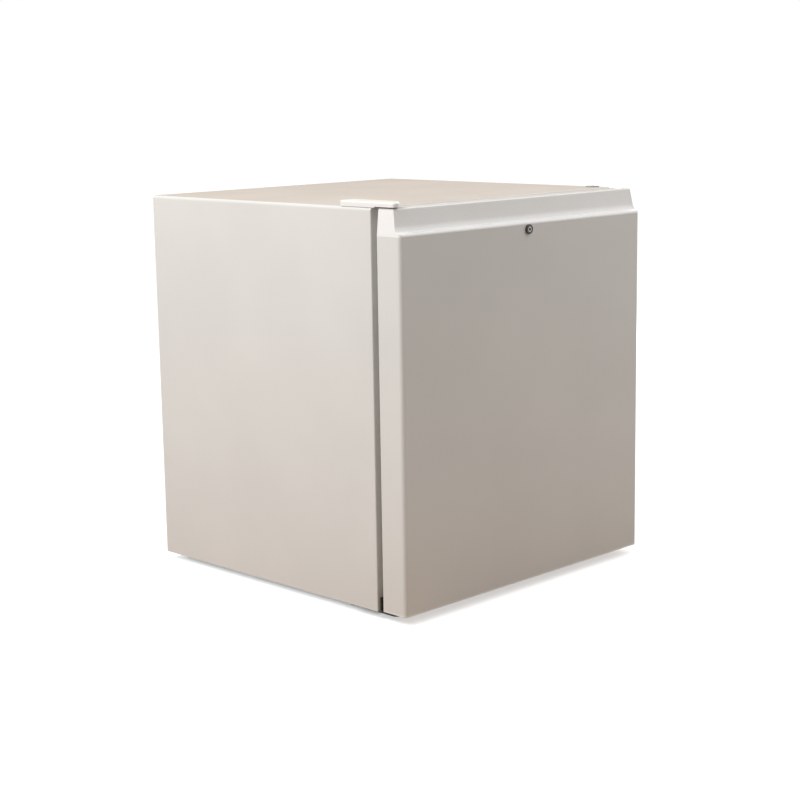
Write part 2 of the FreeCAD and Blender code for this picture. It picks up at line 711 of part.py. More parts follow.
def capillary_tube():
    """From the drier, up through the roof and along the side wall to the evaporator's start."""
    loop_x = DRIER_X - CAPILLARY_LOOP
    dip = DRIER_BOTTOM - CAPILLARY_DIP
    above = MACHINE_TOP + CAPILLARY_ABOVE_ROOF
    aside = -EVAPORATOR_X - EVAPORATOR_TUBE_RADIUS - CAPILLARY_ASIDE
    below = EVAPORATOR_LOW - CAPILLARY_BELOW_EVAPORATOR
    bend = CAPILLARY_BEND
    corners = [(at(DRIER_X, DRIER_Y, DRIER_BOTTOM), 0), (at(DRIER_X, DRIER_Y, dip), bend),
               (at(loop_x, DRIER_Y, dip), bend), (at(loop_x, DRIER_Y, above), bend),
               (at(aside, DRIER_Y, above), bend), (at(aside, DRIER_Y, below), bend),
               (at(aside, EVAPORATOR_FIRST, below), bend),
               (at(-EVAPORATOR_X, EVAPORATOR_FIRST, below), bend),
               (at(-EVAPORATOR_X, EVAPORATOR_FIRST, EVAPORATOR_LOW), 0)]
    return tube(corners, CAPILLARY_RADIUS)


# Condenser on the back

def condenser_tube():
    """Level runs joined by half-round bends; the lowest run turns down to the drier."""
    bend = CONDENSER_PITCH / 2
    corners = [(at(-CONDENSER_HALF_RUN, CONDENSER_Y, CONDENSER_HIGH), 0)]
    for step in range(CONDENSER_RUNS - 1):
        z = CONDENSER_HIGH - step * CONDENSER_PITCH
        side = 1 if step % 2 == 0 else -1
        x = side * (CONDENSER_HALF_RUN + bend)
        corners.append((at(x, CONDENSER_Y, z), bend))
        corners.append((at(x, CONDENSER_Y, z - CONDENSER_PITCH), bend))
    under = MACHINE_TOP - PIPE_BEND
    corners.append((at(DRIER_X, CONDENSER_Y, CONDENSER_LOW), PIPE_BEND))
    corners.append((at(DRIER_X, CONDENSER_Y, under), PIPE_BEND))
    corners.append((at(DRIER_X, DRIER_Y, under), PIPE_BEND))
    corners.append((at(DRIER_X, DRIER_Y, DRIER_TOP), 0))
    return tube(corners, CONDENSER_TUBE_RADIUS)


def condenser_wires():
    reach = CONDENSER_TUBE_RADIUS + WIRE_GAP + CONDENSER_WIRE_RADIUS
    count = int((CONDENSER_HALF_RUN - CONDENSER_WIRE_MARGIN) / CONDENSER_WIRE_PITCH)
    low = CONDENSER_LOW - CONDENSER_WIRE_OVERHANG
    high = CONDENSER_HIGH + CONDENSER_WIRE_OVERHANG
    wires = []
    for step in range(-count, count + 1):
        x = step * CONDENSER_WIRE_PITCH
        for y in (CONDENSER_Y - reach, CONDENSER_Y + reach):
            wires.append(rod(at(x, y, low), at(x, y, high), CONDENSER_WIRE_RADIUS))
    return wires


def bracket_places():
    x = CONDENSER_HALF_RUN - BRACKET_WIDTH / 2
    runs = (CONDENSER_LOW + CONDENSER_PITCH, CONDENSER_HIGH - CONDENSER_PITCH)
    return [(side * x, z) for side in (-1, 1) for z in runs]


def condenser_brackets(condenser):
    """Clips that hold the condenser off the back panel, each with a screw tab."""
    pieces = []
    half = BRACKET_WIDTH / 2
    for x, z in bracket_places():
        clip = box(x - half, x + half, PANEL_BACK, CONDENSER_Y + CONDENSER_TUBE_RADIUS + BRACKET_LIP,
                   z - BRACKET_HEIGHT / 2, z + BRACKET_HEIGHT / 2)
        tab = box(x - half, x + half, PANEL_BACK, PANEL_BACK + BRACKET_TAB_THICKNESS,
                  z + BRACKET_HEIGHT / 2, z + BRACKET_HEIGHT / 2 + BRACKET_TAB)
        pieces.append(clip.fuse(tab).cut(condenser))
    return pieces


def condenser_screws():
    screws = []
    for x, z in bracket_places():
        seat = at(x, PANEL_BACK + BRACKET_TAB_THICKNESS, z + (BRACKET_HEIGHT + BRACKET_TAB) / 2)
        screws.append(pan_screw(seat, at(0, 1, 0), SMALL_SCREW_RADIUS, SMALL_SCREW_HEAD_RADIUS,
                                SMALL_SCREW_HEAD, SMALL_SCREW_LENGTH))
    return screws


# Compressor

def compressor_shell():
    """A welded pot: two rounded halves with a flange where they meet."""
    radius = COMPRESSOR_RADIUS
    low = COMPRESSOR_BOTTOM
    high = COMPRESSOR_BOTTOM + COMPRESSOR_HEIGHT
    seam = FLANGE_BOTTOM
    rim = radius + WELD_FLANGE
    profile = [(0, low, 0), (radius, low, COMPRESSOR_BOTTOM_ROUND), (radius, seam, 0), (rim, seam, 0),
               (rim, seam + WELD_FLANGE, 0), (radius, seam + WELD_FLANGE, 0),
               (radius, high, COMPRESSOR_TOP_ROUND), (0, high, 0)]
    corners = [(at(COMPRESSOR_X + r, COMPRESSOR_Y, z), bend) for r, z, bend in profile]
    face = Part.Face(Part.Wire(rounded_edges(corners, True)))
    return face.revolve(at(COMPRESSOR_X, COMPRESSOR_Y, 0), at(0, 0, 1), 360)


def grommet_places():
    x = FOOT_PLATE_LENGTH / 2 - GROMMET_EDGE
    y = FOOT_PLATE_DEPTH / 2 - GROMMET_EDGE
    return [(COMPRESSOR_X + a * x, COMPRESSOR_Y + b * y) for a in (-1, 1) for b in (-1, 1)]


def compressor_foot_plate():
    half_x = FOOT_PLATE_LENGTH / 2
    half_y = FOOT_PLATE_DEPTH / 2
    return upright(COMPRESSOR_X - half_x, COMPRESSOR_X + half_x, COMPRESSOR_Y - half_y, COMPRESSOR_Y + half_y,
                   FOOT_PLATE_BOTTOM, COMPRESSOR_BOTTOM, FOOT_PLATE_CORNER, FOOT_PLATE_CORNER)


def compressor_grommets():
    """Rubber spools that carry the foot plate; the necks pass through it."""
    spools = []
    for x, y in grommet_places():
        lower = rod(at(x, y, TRAY_TOP), at(x, y, FOOT_PLATE_BOTTOM), GROMMET_RADIUS)
        neck = rod(at(x, y, FOOT_PLATE_BOTTOM), at(x, y, COMPRESSOR_BOTTOM), GROMMET_NECK)
        upper = rod(at(x, y, COMPRESSOR_BOTTOM), at(x, y, COMPRESSOR_BOTTOM + GROMMET_TOP), GROMMET_RADIUS)
        spools.append(lower.fuse([neck, upper]))
    return spools


def compressor_bolts():
    """Studs that stand on the tray, with a nut on top of each grommet."""
    bolts = []
    nut_seat = COMPRESSOR_BOTTOM + GROMMET_TOP
    for x, y in grommet_places():
        stud_top = nut_seat + MOUNT_NUT + MOUNT_STUD_END
        stud = rod(at(x, y, TRAY_TOP), at(x, y, stud_top), MOUNT_BOLT_RADIUS)
        nut = hexagon(at(x, y, nut_seat), MOUNT_NUT_FLATS, at(0, 0, MOUNT_NUT), at(1, 0, 0))
        bolts.append(stud.fuse(nut))
    return bolts


def compressor_terminal_cover(compressor):
    """The relay and terminal cover, hugging the side of the pot below its flange."""
    high = FLANGE_BOTTOM - TERMINAL_BELOW_FLANGE
    right = COMPRESSOR_X + COMPRESSOR_RADIUS + TERMINAL_DEPTH
    half = TERMINAL_WIDTH / 2
    low = high - TERMINAL_HEIGHT
    cover = box(COMPRESSOR_X, right, COMPRESSOR_Y - half, COMPRESSOR_Y + half, low, high)
    outer_edges = edges_where(cover, lambda p: near(p.x, right))
    return cover.makeFillet(TERMINAL_EDGE_RADIUS, outer_edges).cut(compressor)


# Thermostat and cord entry

def along_dial(y0, y1, radius):
    """A round bar on the axis of the thermostat's dial."""
    return rod(at(CONTROL_X, y0, THERMOSTAT_Z), at(CONTROL_X, y1, THERMOSTAT_Z), radius)


def thermostat_bracket():
    right = HALF_WIDTH - SHEET
    left = right - CONTROL_WIDTH
    plate = box(left, right, CONTROL_FRONT, CONTROL_BACK, TRAY_TOP, TRAY_TOP + CONTROL_HEIGHT)
    foot = box(left, right, CONTROL_FRONT - CONTROL_FOOT, CONTROL_FRONT, TRAY_TOP, TRAY_TOP + BRACKET_SHEET)
    return plate.fuse(foot).cut(along_dial(CONTROL_FRONT, CONTROL_BACK, SPINDLE_HOLE))


def thermostat_body():
    half_x = THERMOSTAT_WIDTH / 2
    half_z = THERMOSTAT_HEIGHT / 2
    case = box(CONTROL_X - half_x, CONTROL_X + half_x, THERMOSTAT_FRONT, CONTROL_FRONT,
               THERMOSTAT_Z - half_z, THERMOSTAT_Z + half_z)
    bore = along_dial(CONTROL_FRONT - SPINDLE_LENGTH, CONTROL_FRONT, SPINDLE_RADIUS + RUNNING_CLEARANCE)
    return case.cut(bore)


def thermostat_knob():
    """A dial with a pointer grip, on the spindle that turns in the thermostat."""
    dial_front = CONTROL_BACK + DIAL_GAP
    dial_back = dial_front + DIAL_THICKNESS
    grip_back = dial_back + DIAL_GRIP_LENGTH
    spindle_end = CONTROL_FRONT - SPINDLE_LENGTH + DIAL_GAP
    half = DIAL_POINTER_WIDTH / 2
    dial = along_dial(dial_front, dial_back, DIAL_RADIUS)
    grip = along_dial(dial_back, grip_back - half, DIAL_GRIP_RADIUS)
    pointer = box(CONTROL_X - half, CONTROL_X + half, dial_back, grip_back,
                  THERMOSTAT_Z - DIAL_GRIP_RADIUS, THERMOSTAT_Z + DIAL_RADIUS - half)
    spindle = along_dial(spindle_end, dial_front, SPINDLE_RADIUS)
    return dial.fuse([grip, pointer, spindle])


def thermostat_probe():
    """The sensing tube, up through the roof and along under the step of the liner."""
    y = THERMOSTAT_FRONT - PROBE_REACH
    under_step = MACHINE_TOP + PROBE_ABOVE_ROOF
    bend = CAPILLARY_BEND
    corners = [(at(CONTROL_X, THERMOSTAT_FRONT, THERMOSTAT_Z), 0), (at(CONTROL_X, y, THERMOSTAT_Z), bend),
               (at(CONTROL_X, y, under_step), bend), (at(CONTROL_X - PROBE_LENGTH, y, under_step), 0)]
    return tube(corners, PROBE_RADIUS)


def cord_gland():
    """The bush in the bracket that a mains lead enters through."""
    inner = at(CONTROL_X, CONTROL_BACK - GLAND_LENGTH, GLAND_Z)
    seat = at(CONTROL_X, CONTROL_BACK, GLAND_Z)
    outer = at(CONTROL_X, CONTROL_BACK + GLAND_FLANGE, GLAND_Z)
    bush = rod(inner, seat, GLAND_RADIUS).fuse(rod(seat, outer, GLAND_FLANGE_RADIUS))
    return bush.cut(rod(inner, outer, GLAND_BORE))


# Hinges

def hinge_strip(low, reach, radius):
    """A strip along Y with a round end over the hinge pin."""
    strip = box(PIN_X - radius, PIN_X + radius, PIN_Y, CABINET_FRONT + reach, low, low + HINGE_PLATE)
    return strip.fuse(rod(at(PIN_X, PIN_Y, low), at(PIN_X, PIN_Y, low + HINGE_PLATE), radius))


def top_hinge_plate():
    """Screwed to the cabinet's top, with a step up so that its front end clears the door."""
    half = HINGE_PLATE_WIDTH / 2
    step_front = CABINET_FRONT + HINGE_STEP - HINGE_PLATE
    front = hinge_strip(TOP + HINGE_LIFT, HINGE_STEP, half)
    step = box(PIN_X - half, PIN_X + half, step_front, CABINET_FRONT + HINGE_STEP, TOP, HINGE_TOP)
    rear = box(PIN_X - half, PIN_X + half, step_front, CABINET_FRONT + TOP_HINGE_REACH, TOP,
               TOP + HINGE_PLATE)
    return front.fuse([step, rear])


def top_hinge_pin():
    low = at(PIN_X, PIN_Y, DOOR_TOP - PIN_ENGAGEMENT)
    return rod(low, at(PIN_X, PIN_Y, HINGE_TOP), PIN_RADIUS)


def top_hinge_screws():
    screws = []
    for step in range(2):
        seat = at(PIN_X, CABINET_FRONT + TOP_SCREW_FIRST + TOP_SCREW_PITCH * step, TOP + HINGE_PLATE)
        screws.append(pan_screw(seat, at(0, 0, 1), HINGE_SCREW_RADIUS, HINGE_SCREW_HEAD_RADIUS,
                                HINGE_SCREW_HEAD, HINGE_SCREW_LENGTH))
    return screws


def hinge_anchor_plates():
    """Steel plates under the shell's top that the hinge screws bite into, one for each hand."""
    half = HINGE_PLATE_WIDTH / 2
    plate = box(PIN_X - half, PIN_X + half, CABINET_FRONT + LINER, CABINET_FRONT + TOP_HINGE_REACH,
                TOP - SHEET - ANCHOR_PLATE, TOP - SHEET)
    return [plate, mirrored(plate)]


def cover_outline(inset, high):
    """The hinge cover's outside, or its inside at some inset: a strip with a slanted nose."""
    left = -HALF_WIDTH + COVER_SIDE_INSET + inset
    right = left + COVER_WIDTH - 2 * inset
    front = DOOR_FACE + GRIP_DEPTH_TOP - COVER_OVERHANG + inset
    rear = CABINET_FRONT + COVER_REACH - inset
    slant = left + COVER_NOSE_WIDTH - front - inset * math.sqrt(2)
    corner = COVER_CORNER - inset
    nose = COVER_NOSE_ROUND - inset
    corners = [(at(left, front, TOP), corner), (at(slant + front, front, TOP), nose),
               (at(right, right - slant, TOP), nose), (at(right, rear, TOP), corner),
               (at(left, rear, TOP), corner)]
    return prism(corners, at(0, 0, high - TOP))


def hinge_cover():
    """A hollow cap over the hinge; its rim is raised where the door passes under it."""
    high = TOP + COVER_HEIGHT
    outer = cover_outline(0, high)
    rim = edges_where(outer, lambda p: near(p.z, high))
    outer = outer.makeFillet(COVER_EDGE_RADIUS, rim)
    door_room = box(-HALF_WIDTH, -HALF_WIDTH + COVER_SIDE_INSET + COVER_WIDTH, DOOR_FACE,
                    CABINET_FRONT - COVER_STEP, TOP, TOP + COVER_LIFT)
    return outer.cut([cover_outline(COVER_WALL, high - COVER_WALL), door_room])


def plug_disc(radius, low, high):
    """A disc over the spare hinge hole on the right of the cabinet's top."""
    y = CABINET_FRONT + HOLE_PLUG_SETBACK
    return rod(at(-PIN_X, y, low), at(-PIN_X, y, high), radius)


def hinge_hole_plug():
    head = plug_disc(HOLE_PLUG_RADIUS, TOP, TOP + HOLE_PLUG_HEAD)
    return head.fuse(plug_disc(HOLE_PLUG_RADIUS - HOLE_PLUG_LIP, TOP - HOLE_PLUG_STEM, TOP))


def bottom_hinge_plate():
    """A folded bracket: a tongue with the pin, a foot under the cabinet and an upstand on its front."""
    low = BOTTOM - HINGE_PLATE
    tongue = hinge_strip(low, BOTTOM_HINGE_REACH, HINGE_PLATE_WIDTH / 2)
    left = PIN_X - HINGE_PLATE_WIDTH / 2
    foot = box(left, left + BOTTOM_HINGE_WIDTH, CABINET_FRONT + LINER,
               CABINET_FRONT + BOTTOM_HINGE_REACH, low, BOTTOM)
    upstand = box(left, left + BOTTOM_HINGE_WIDTH, CABINET_FRONT - HINGE_PLATE, CABINET_FRONT, low,
                  BOTTOM + BOTTOM_HINGE_UPSTAND)
    fold = box(left, left + BOTTOM_HINGE_WIDTH, CABINET_FRONT - HINGE_PLATE, CABINET_FRONT + LINER, low,
               BOTTOM)
    return tongue.fuse([foot, upstand, fold])


def bottom_hinge_pin():
    low = at(PIN_X, PIN_Y, BOTTOM - HINGE_PLATE)
    return rod(low, at(PIN_X, PIN_Y, DOOR_BOTTOM + PIN_ENGAGEMENT), PIN_RADIUS)


def bottom_hinge_screws():
    left = PIN_X - HINGE_PLATE_WIDTH / 2 + BOTTOM_SCREW_EDGE
    right = PIN_X - HINGE_PLATE_WIDTH / 2 + BOTTOM_HINGE_WIDTH - BOTTOM_SCREW_EDGE
    front = CABINET_FRONT + LINER + BOTTOM_SCREW_EDGE
    back = CABINET_FRONT + BOTTOM_HINGE_REACH - BOTTOM_SCREW_EDGE
    seats = [at(x, y, BOTTOM - HINGE_PLATE) for x, y in ((left, front), (right, front), (right, back))]
    return [pan_screw(seat, at(0, 0, -1), HINGE_SCREW_RADIUS, HINGE_SCREW_HEAD_RADIUS, HINGE_SCREW_HEAD,
                      HINGE_SCREW_LENGTH) for seat in seats]


# Feet

def foot_x(side):
    return side * (HALF_WIDTH - FOOT_SIDE_INSET)


def foot_pad(x, y, radius):
    """A round pad with a chamfered sole, standing on the floor."""
    sole = Part.makeCone(radius - FOOT_PAD_CHAMFER, radius, FOOT_PAD_CHAMFER, at(x, y, 0))
    return sole.fuse(rod(at(x, y, FOOT_PAD_CHAMFER), at(x, y, FOOT_PAD), radius))


def front_foot(side):
    """A levelling foot, screwed fully in: pad, hexagon collar and stud."""
    x = foot_x(side)
    y = CABINET_FRONT + FRONT_FOOT_INSET
    collar_top = BOTTOM - FOOT_STOP_GAP
    collar = hexagon(at(x, y, FOOT_PAD), FOOT_COLLAR_FLATS, at(0, 0, collar_top - FOOT_PAD), at(1, 0, 0))
    stud = rod(at(x, y, FOOT_PAD), at(x, y, BOTTOM + FOOT_STUD_LENGTH), FOOT_STUD_RADIUS)
    return foot_pad(x, y, FOOT_RADIUS).fuse([collar, stud])


def foot_nuts():
    """Threaded inserts on the base pan for the levelling feet."""
    nuts = []
    y = CABINET_FRONT + FRONT_FOOT_INSET
    for side in (-1, 1):
        low = at(foot_x(side), y, BOTTOM + SHEET)
        high = at(foot_x(side), y, BOTTOM + SHEET + FOOT_NUT_LENGTH)
        nuts.append(rod(low, high, FOOT_NUT_RADIUS).cut(rod(low, high, FOOT_STUD_RADIUS + RUNNING_CLEARANCE)))
    return nuts


def foot_holes():
    y = CABINET_FRONT + FRONT_FOOT_INSET
    radius = FOOT_STUD_RADIUS + FOOT_HOLE_CLEARANCE
    return [rod(at(foot_x(side), y, BOTTOM), at(foot_x(side), y, BOTTOM + SHEET), radius)
            for side in (-1, 1)]


def foot_nut_blocks():
    """The room in the insulation that each threaded insert takes up, bore included."""
    y = CABINET_FRONT + FRONT_FOOT_INSET
    high = BOTTOM + SHEET + FOOT_NUT_LENGTH
    return [rod(at(foot_x(side), y, BOTTOM + SHEET), at(foot_x(side), y, high), FOOT_NUT_RADIUS)
            for side in (-1, 1)]


def rear_feet():
    """Fixed feet under the tray, each with a stem that plugs into it."""
    feet = []
    y = CABINET_REAR - REAR_FOOT_INSET
    for side in (-1, 1):
        x = foot_x(side)
        post = rod(at(x, y, FOOT_PAD), at(x, y, BOTTOM), REAR_FOOT_RADIUS - FOOT_PAD_CHAMFER)
        stem = rod(at(x, y, BOTTOM), at(x, y, TRAY_TOP + FOOT_PAD), FOOT_STUD_RADIUS)
        feet.append(foot_pad(x, y, REAR_FOOT_RADIUS).fuse([post, stem]))
    return feet


# Door

def door_block(inset, back, low, high):
    """The door's plan with rounded front edges, some way inside its faces."""
    edge = max(DOOR_EDGE_RADIUS - inset, 0)
    return upright(-HALF_WIDTH + inset, HALF_WIDTH - inset, DOOR_FACE + inset, back, low, high, edge, 0)


def door_liner_plate():
    half = HALF_WIDTH - DOOR_RETURN
    return box(-half, half, DOOR_LINER_FRONT, DOOR_BACK, DOOR_BOTTOM + DOOR_LINER_MARGIN,
               DOOR_TOP - DOOR_LINER_MARGIN)


def door_panel():
    outer = door_block(0, DOOR_BACK, PANEL_FOOT, SEAM)
    inner = door_block(SHEET, DOOR_BACK - SHEET, PANEL_FOOT, SEAM)
    half = HALF_WIDTH - DOOR_RETURN
    window = box(-half, half, DOOR_BACK - SHEET, DOOR_BACK, PANEL_FOOT, SEAM)
    return outer.cut([inner, window])


def cap_block(inset, low, high):
    """The top cap's outside or inside: its ends draw in towards the top."""
    edge = max(DOOR_EDGE_RADIUS - inset, 0)
    sections = []
    for z in (low, high):
        draw = CAP_END_TAPER * (z - SEAM) / (DOOR_TOP - SEAM)
        half = HALF_WIDTH - inset - draw
        corners = [(at(-half, DOOR_FACE + inset, z), edge), (at(half, DOOR_FACE + inset, z), edge),
                   (at(half, DOOR_BACK - inset, z), 0), (at(-half, DOOR_BACK - inset, z), 0)]
        sections.append(Part.Wire(rounded_edges(corners, True)))
    return Part.makeLoft(sections, True, True)


def grip_cut(grow):
    """The full-width scoop along the top front of the door: a leaning wall, a cove and a ledge."""
    face = DOOR_FACE + grow
    ledge = LIP - grow
    clear = DOOR_FACE - DOOR_THICKNESS
    above = DOOR_TOP + GRIP_HEIGHT
    lip = max(LIP_RADIUS - grow, 0)
    left = -HALF_WIDTH - DOOR_THICKNESS
    corners = [(at(left, clear, SEAM - LIP_HEIGHT), 0), (at(left, face, SEAM - LIP_HEIGHT), 0),
               (at(left, face, ledge), lip), (at(left, face + GRIP_DEPTH_FOOT, ledge), GRIP_COVE_RADIUS),
               (at(left, face + GRIP_DEPTH_KNEE, ledge + GRIP_KNEE_HEIGHT), GRIP_KNEE_RADIUS),
               (at(left, face + GRIP_DEPTH_TOP, DOOR_TOP), 0),
               (at(left, face + GRIP_DEPTH_TOP, above), 0), (at(left, clear, above), 0)]
    return prism(corners, at(-2 * left, 0, 0))


def cap_hollow():
    return cap_block(CAP_WALL, SEAM, CAP_CEILING).cut(grip_cut(CAP_WALL))


def door_top_cap():
    cap = cap_block(0, SEAM, DOOR_TOP).cut(grip_cut(0))
    top_edges = edges_where(cap, lambda p: near(p.z, DOOR_TOP))
    cap = cap.makeFillet(CAP_TOP_EDGE_RADIUS, top_edges)
    return cap.cut([cap_hollow(), door_liner_plate()])


def door_bottom_cap():
    flange = door_block(0, DOOR_BACK, DOOR_BOTTOM, PANEL_FOOT)
    sole = edges_where(flange, lambda p: near(p.z, DOOR_BOTTOM))
    flange = flange.makeFillet(BOTTOM_CAP_EDGE_RADIUS, sole)
    spigot = door_block(SHEET, DOOR_BACK - SHEET, PANEL_FOOT, PANEL_FOOT + BOTTOM_CAP_DEPTH)
    return flange.fuse(spigot).cut(door_liner_plate())


def plug_block(inset):
    """The raised middle of the door's inside, which enters the freezer's mouth."""
    block = slab(-PLUG_HALF + inset, PLUG_HALF - inset, DOOR_BACK, PLUG_BACK - inset, PLUG_FLOOR + inset,
                 PLUG_TOP - inset, PLUG_CORNER - inset)
    crown = edges_where(block, lambda p: near(p.y, PLUG_BACK - inset))
    return block.makeFillet(PLUG_EDGE_RADIUS - inset, crown)


def plug_core():
    """The room inside the raised middle, through the liner's plate, that the foam fills."""
    mouth = slab(-PLUG_HALF + LINER, PLUG_HALF - LINER, DOOR_LINER_FRONT, DOOR_BACK, PLUG_FLOOR + LINER,
                 PLUG_TOP - LINER, PLUG_CORNER - LINER)
    return plug_block(LINER).fuse(mouth)


def door_liner():
    return door_liner_plate().fuse(plug_block(0)).cut(plug_core())


def door_foam(embedded):
    fill = door_block(SHEET, DOOR_BACK - SHEET, PANEL_FOOT + BOTTOM_CAP_DEPTH, SEAM)
    body = fill.fuse([cap_hollow(), plug_core()])
    return body.cut(embedded)


# Gasket

def gasket_frame(outer, inner, y0, y1):
    """A level of the gasket: a frame between two insets from the gasket's outer edge."""
    blocks = []
    for inset in (outer, inner):
        half = HALF_WIDTH - GASKET_SIDE_INSET - inset
        blocks.append(slab(-half, half, y0, y1, DOOR_BOTTOM + GASKET_BOTTOM_INSET + inset,
                           DOOR_TOP - GASKET_TOP_INSET - inset, GASKET_CORNER))
    return blocks[0].cut(blocks[1])


def gasket_magnets():
    """Magnet strips, one along each side of the gasket, in a channel under its face."""
    inset = GASKET_FACE_INSET + (GASKET_WIDTH - GASKET_FACE_INSET - MAGNET_WIDTH) / 2
    back = CABINET_FRONT - GASKET_CLEARANCE - MAGNET_COVER
    front = back - MAGNET_THICKNESS
    x = HALF_WIDTH - GASKET_SIDE_INSET - inset
    low = DOOR_BOTTOM + GASKET_BOTTOM_INSET + inset
    high = DOOR_TOP - GASKET_TOP_INSET - inset
    end = x - MAGNET_END_GAP
    right = box(x - MAGNET_WIDTH, x, front, back, low + MAGNET_END_GAP, high - MAGNET_END_GAP)
    lower = box(-end, end, front, back, low, low + MAGNET_WIDTH)
    upper = box(-end, end, front, back, high - MAGNET_WIDTH, high)
    return [mirrored(right), right, lower, upper]


def door_gasket(magnets):
    """Three levels from the door out, each set further in: a base, a fold and a sealing face."""
    base_end = DOOR_BACK + GASKET_BASE
    fold_end = base_end + GASKET_FOLD
    face_end = CABINET_FRONT - GASKET_CLEARANCE
    base = gasket_frame(0, GASKET_WIDTH - GASKET_NECK_INSET, DOOR_BACK, base_end)
    fold = gasket_frame(GASKET_NECK_INSET, GASKET_WIDTH, base_end, fold_end)
    face = gasket_frame(GASKET_FACE_INSET, GASKET_WIDTH, fold_end, face_end)
    return base.fuse([fold, face]).cut(magnets)


# Door bushes and lock

def bush_blocks():
    """The two bushes of the door before they are bored: in the left ends of its caps."""
    spans = [(DOOR_TOP - BUSH_LENGTH, DOOR_TOP), (DOOR_BOTTOM, DOOR_BOTTOM + BUSH_LENGTH)]
    return [rod(at(PIN_X, PIN_Y, low), at(PIN_X, PIN_Y, high), BUSH_RADIUS) for low, high in spans]


def door_hinge_bushes():
    """Bushes that turn on the hinge pins."""
    bore = rod(at(PIN_X, PIN_Y, DOOR_BOTTOM), at(PIN_X, PIN_Y, DOOR_TOP), BORE_RADIUS)
    return [block.cut(bore) for block in bush_blocks()]


def door_bush_plugs():
    """Flush plugs in the spare bush holes on the right, for a door hung the other way."""
    plugs = []
    for face, inward in ((DOOR_TOP, -1), (DOOR_BOTTOM, 1)):
        outside = at(-PIN_X, PIN_Y, face)
        head = rod(outside, at(-PIN_X, PIN_Y, face + inward * BUSH_PLUG_HEAD), BUSH_RADIUS + BUSH_PLUG_RIM)
        stem = rod(outside, at(-PIN_X, PIN_Y, face + inward * BUSH_LENGTH), BUSH_RADIUS)
        plugs.append(head.fuse(stem))
    return plugs


def along_lock(y, radius, end):
    return rod(at(0, y, LOCK_Z), at(0, end, LOCK_Z), radius)


def lock_housing():
    """The bezel and threaded body that the barrel turns in."""
    bezel_front = DOOR_FACE - LOCK_PROUD
    bezel = along_lock(bezel_front, BEZEL_RADIUS, DOOR_FACE)
    rim = edges_where(bezel, lambda p: near(p.y, bezel_front))
    bezel = bezel.makeChamfer(BEZEL_CHAMFER, rim)
    body = along_lock(DOOR_FACE, HOUSING_RADIUS, DOOR_BACK + LOCK_NUT)
    bore = along_lock(bezel_front, BARREL_RADIUS + RUNNING_CLEARANCE, DOOR_BACK + LOCK_NUT)
    return bezel.fuse(body).cut(bore)


def lock_nut():
    nut = hexagon(at(0, DOOR_BACK, LOCK_Z), LOCK_NUT_FLATS, at(0, LOCK_NUT, 0), at(0, 0, 1))
    return nut.cut(along_lock(DOOR_BACK, HOUSING_RADIUS, DOOR_BACK + LOCK_NUT))


def lock_barrel():
    """The part that the key turns, with its slot at the front and a tail for the cam."""
    front = DOOR_FACE - LOCK_PROUD + BARREL_RECESS
    barrel = along_lock(front, BARREL_RADIUS, CAM_FRONT)
    slot = box(-KEY_SLOT_WIDTH / 2, KEY_SLOT_WIDTH / 2, front, front + KEY_SLOT_DEPTH,
               LOCK_Z - KEY_SLOT_LENGTH / 2, LOCK_Z + KEY_SLOT_LENGTH / 2)
    return barrel.cut(slot)


def lock_cam():
    """The locking arm; it hangs down when the lock is open."""
    half = CAM_WIDTH / 2
    tip = LOCK_Z - CAM_LENGTH + half
    arm = box(-half, half, CAM_FRONT, CAM_BACK, tip, LOCK_Z)
    hub = along_lock(CAM_FRONT, half, CAM_BACK)
    end = rod(at(0, CAM_FRONT, tip), at(0, CAM_BACK, tip), half)
    return arm.fuse([hub, end]).removeSplitter()


def lock_cam_screw():
    return pan_screw(at(0, CAM_BACK, LOCK_Z), at(0, 1, 0), CAM_SCREW_RADIUS, CAM_SCREW_HEAD_RADIUS,
                     CAM_SCREW_HEAD, CAM_SCREW_LENGTH)


def keeper_sides():
    """The keeper's near and far ends along X, to the left of the lock."""
    near_end = -CAM_WIDTH / 2 - KEEPER_SIDE_GAP
    return near_end - KEEPER_GRIP, near_end


def lock_keeper():
    """A folded catch on the cabinet's front: the turned cam passes behind its lip."""
    left, right = keeper_sides()
    foot_left = left - KEEPER_FOOT
    roof = LOCK_Z + CAM_WIDTH / 2 + KEEPER_CAM_GAP
    foot = LOCK_Z - CAM_WIDTH / 2 - KEEPER_CAM_GAP
    lip_back = CAM_FRONT - KEEPER_CAM_GAP
    plate_front = CABINET_FRONT - KEEPER_SHEET
    plate = box(foot_left, right, plate_front, CABINET_FRONT, foot, roof + KEEPER_SHEET)
    web = box(left, right, lip_back - KEEPER_SHEET, CABINET_FRONT, roof, roof + KEEPER_SHEET)
    lip = box(left, right, lip_back - KEEPER_SHEET, lip_back, LOCK_Z, roof + KEEPER_SHEET)
    return plate.fuse([web, lip])


def lock_keeper_screws():
    left, right = keeper_sides()
    x = left - KEEPER_FOOT / 2
    screws = []
    for side in (-1, 1):
        seat = at(x, CABINET_FRONT - KEEPER_SHEET, LOCK_Z + side * CAM_WIDTH / 2)
        screws.append(pan_screw(seat, at(0, -1, 0), KEEPER_SCREW_RADIUS, KEEPER_SCREW_HEAD_RADIUS,
                                KEEPER_SCREW_HEAD, KEEPER_SCREW_LENGTH))
    return screws


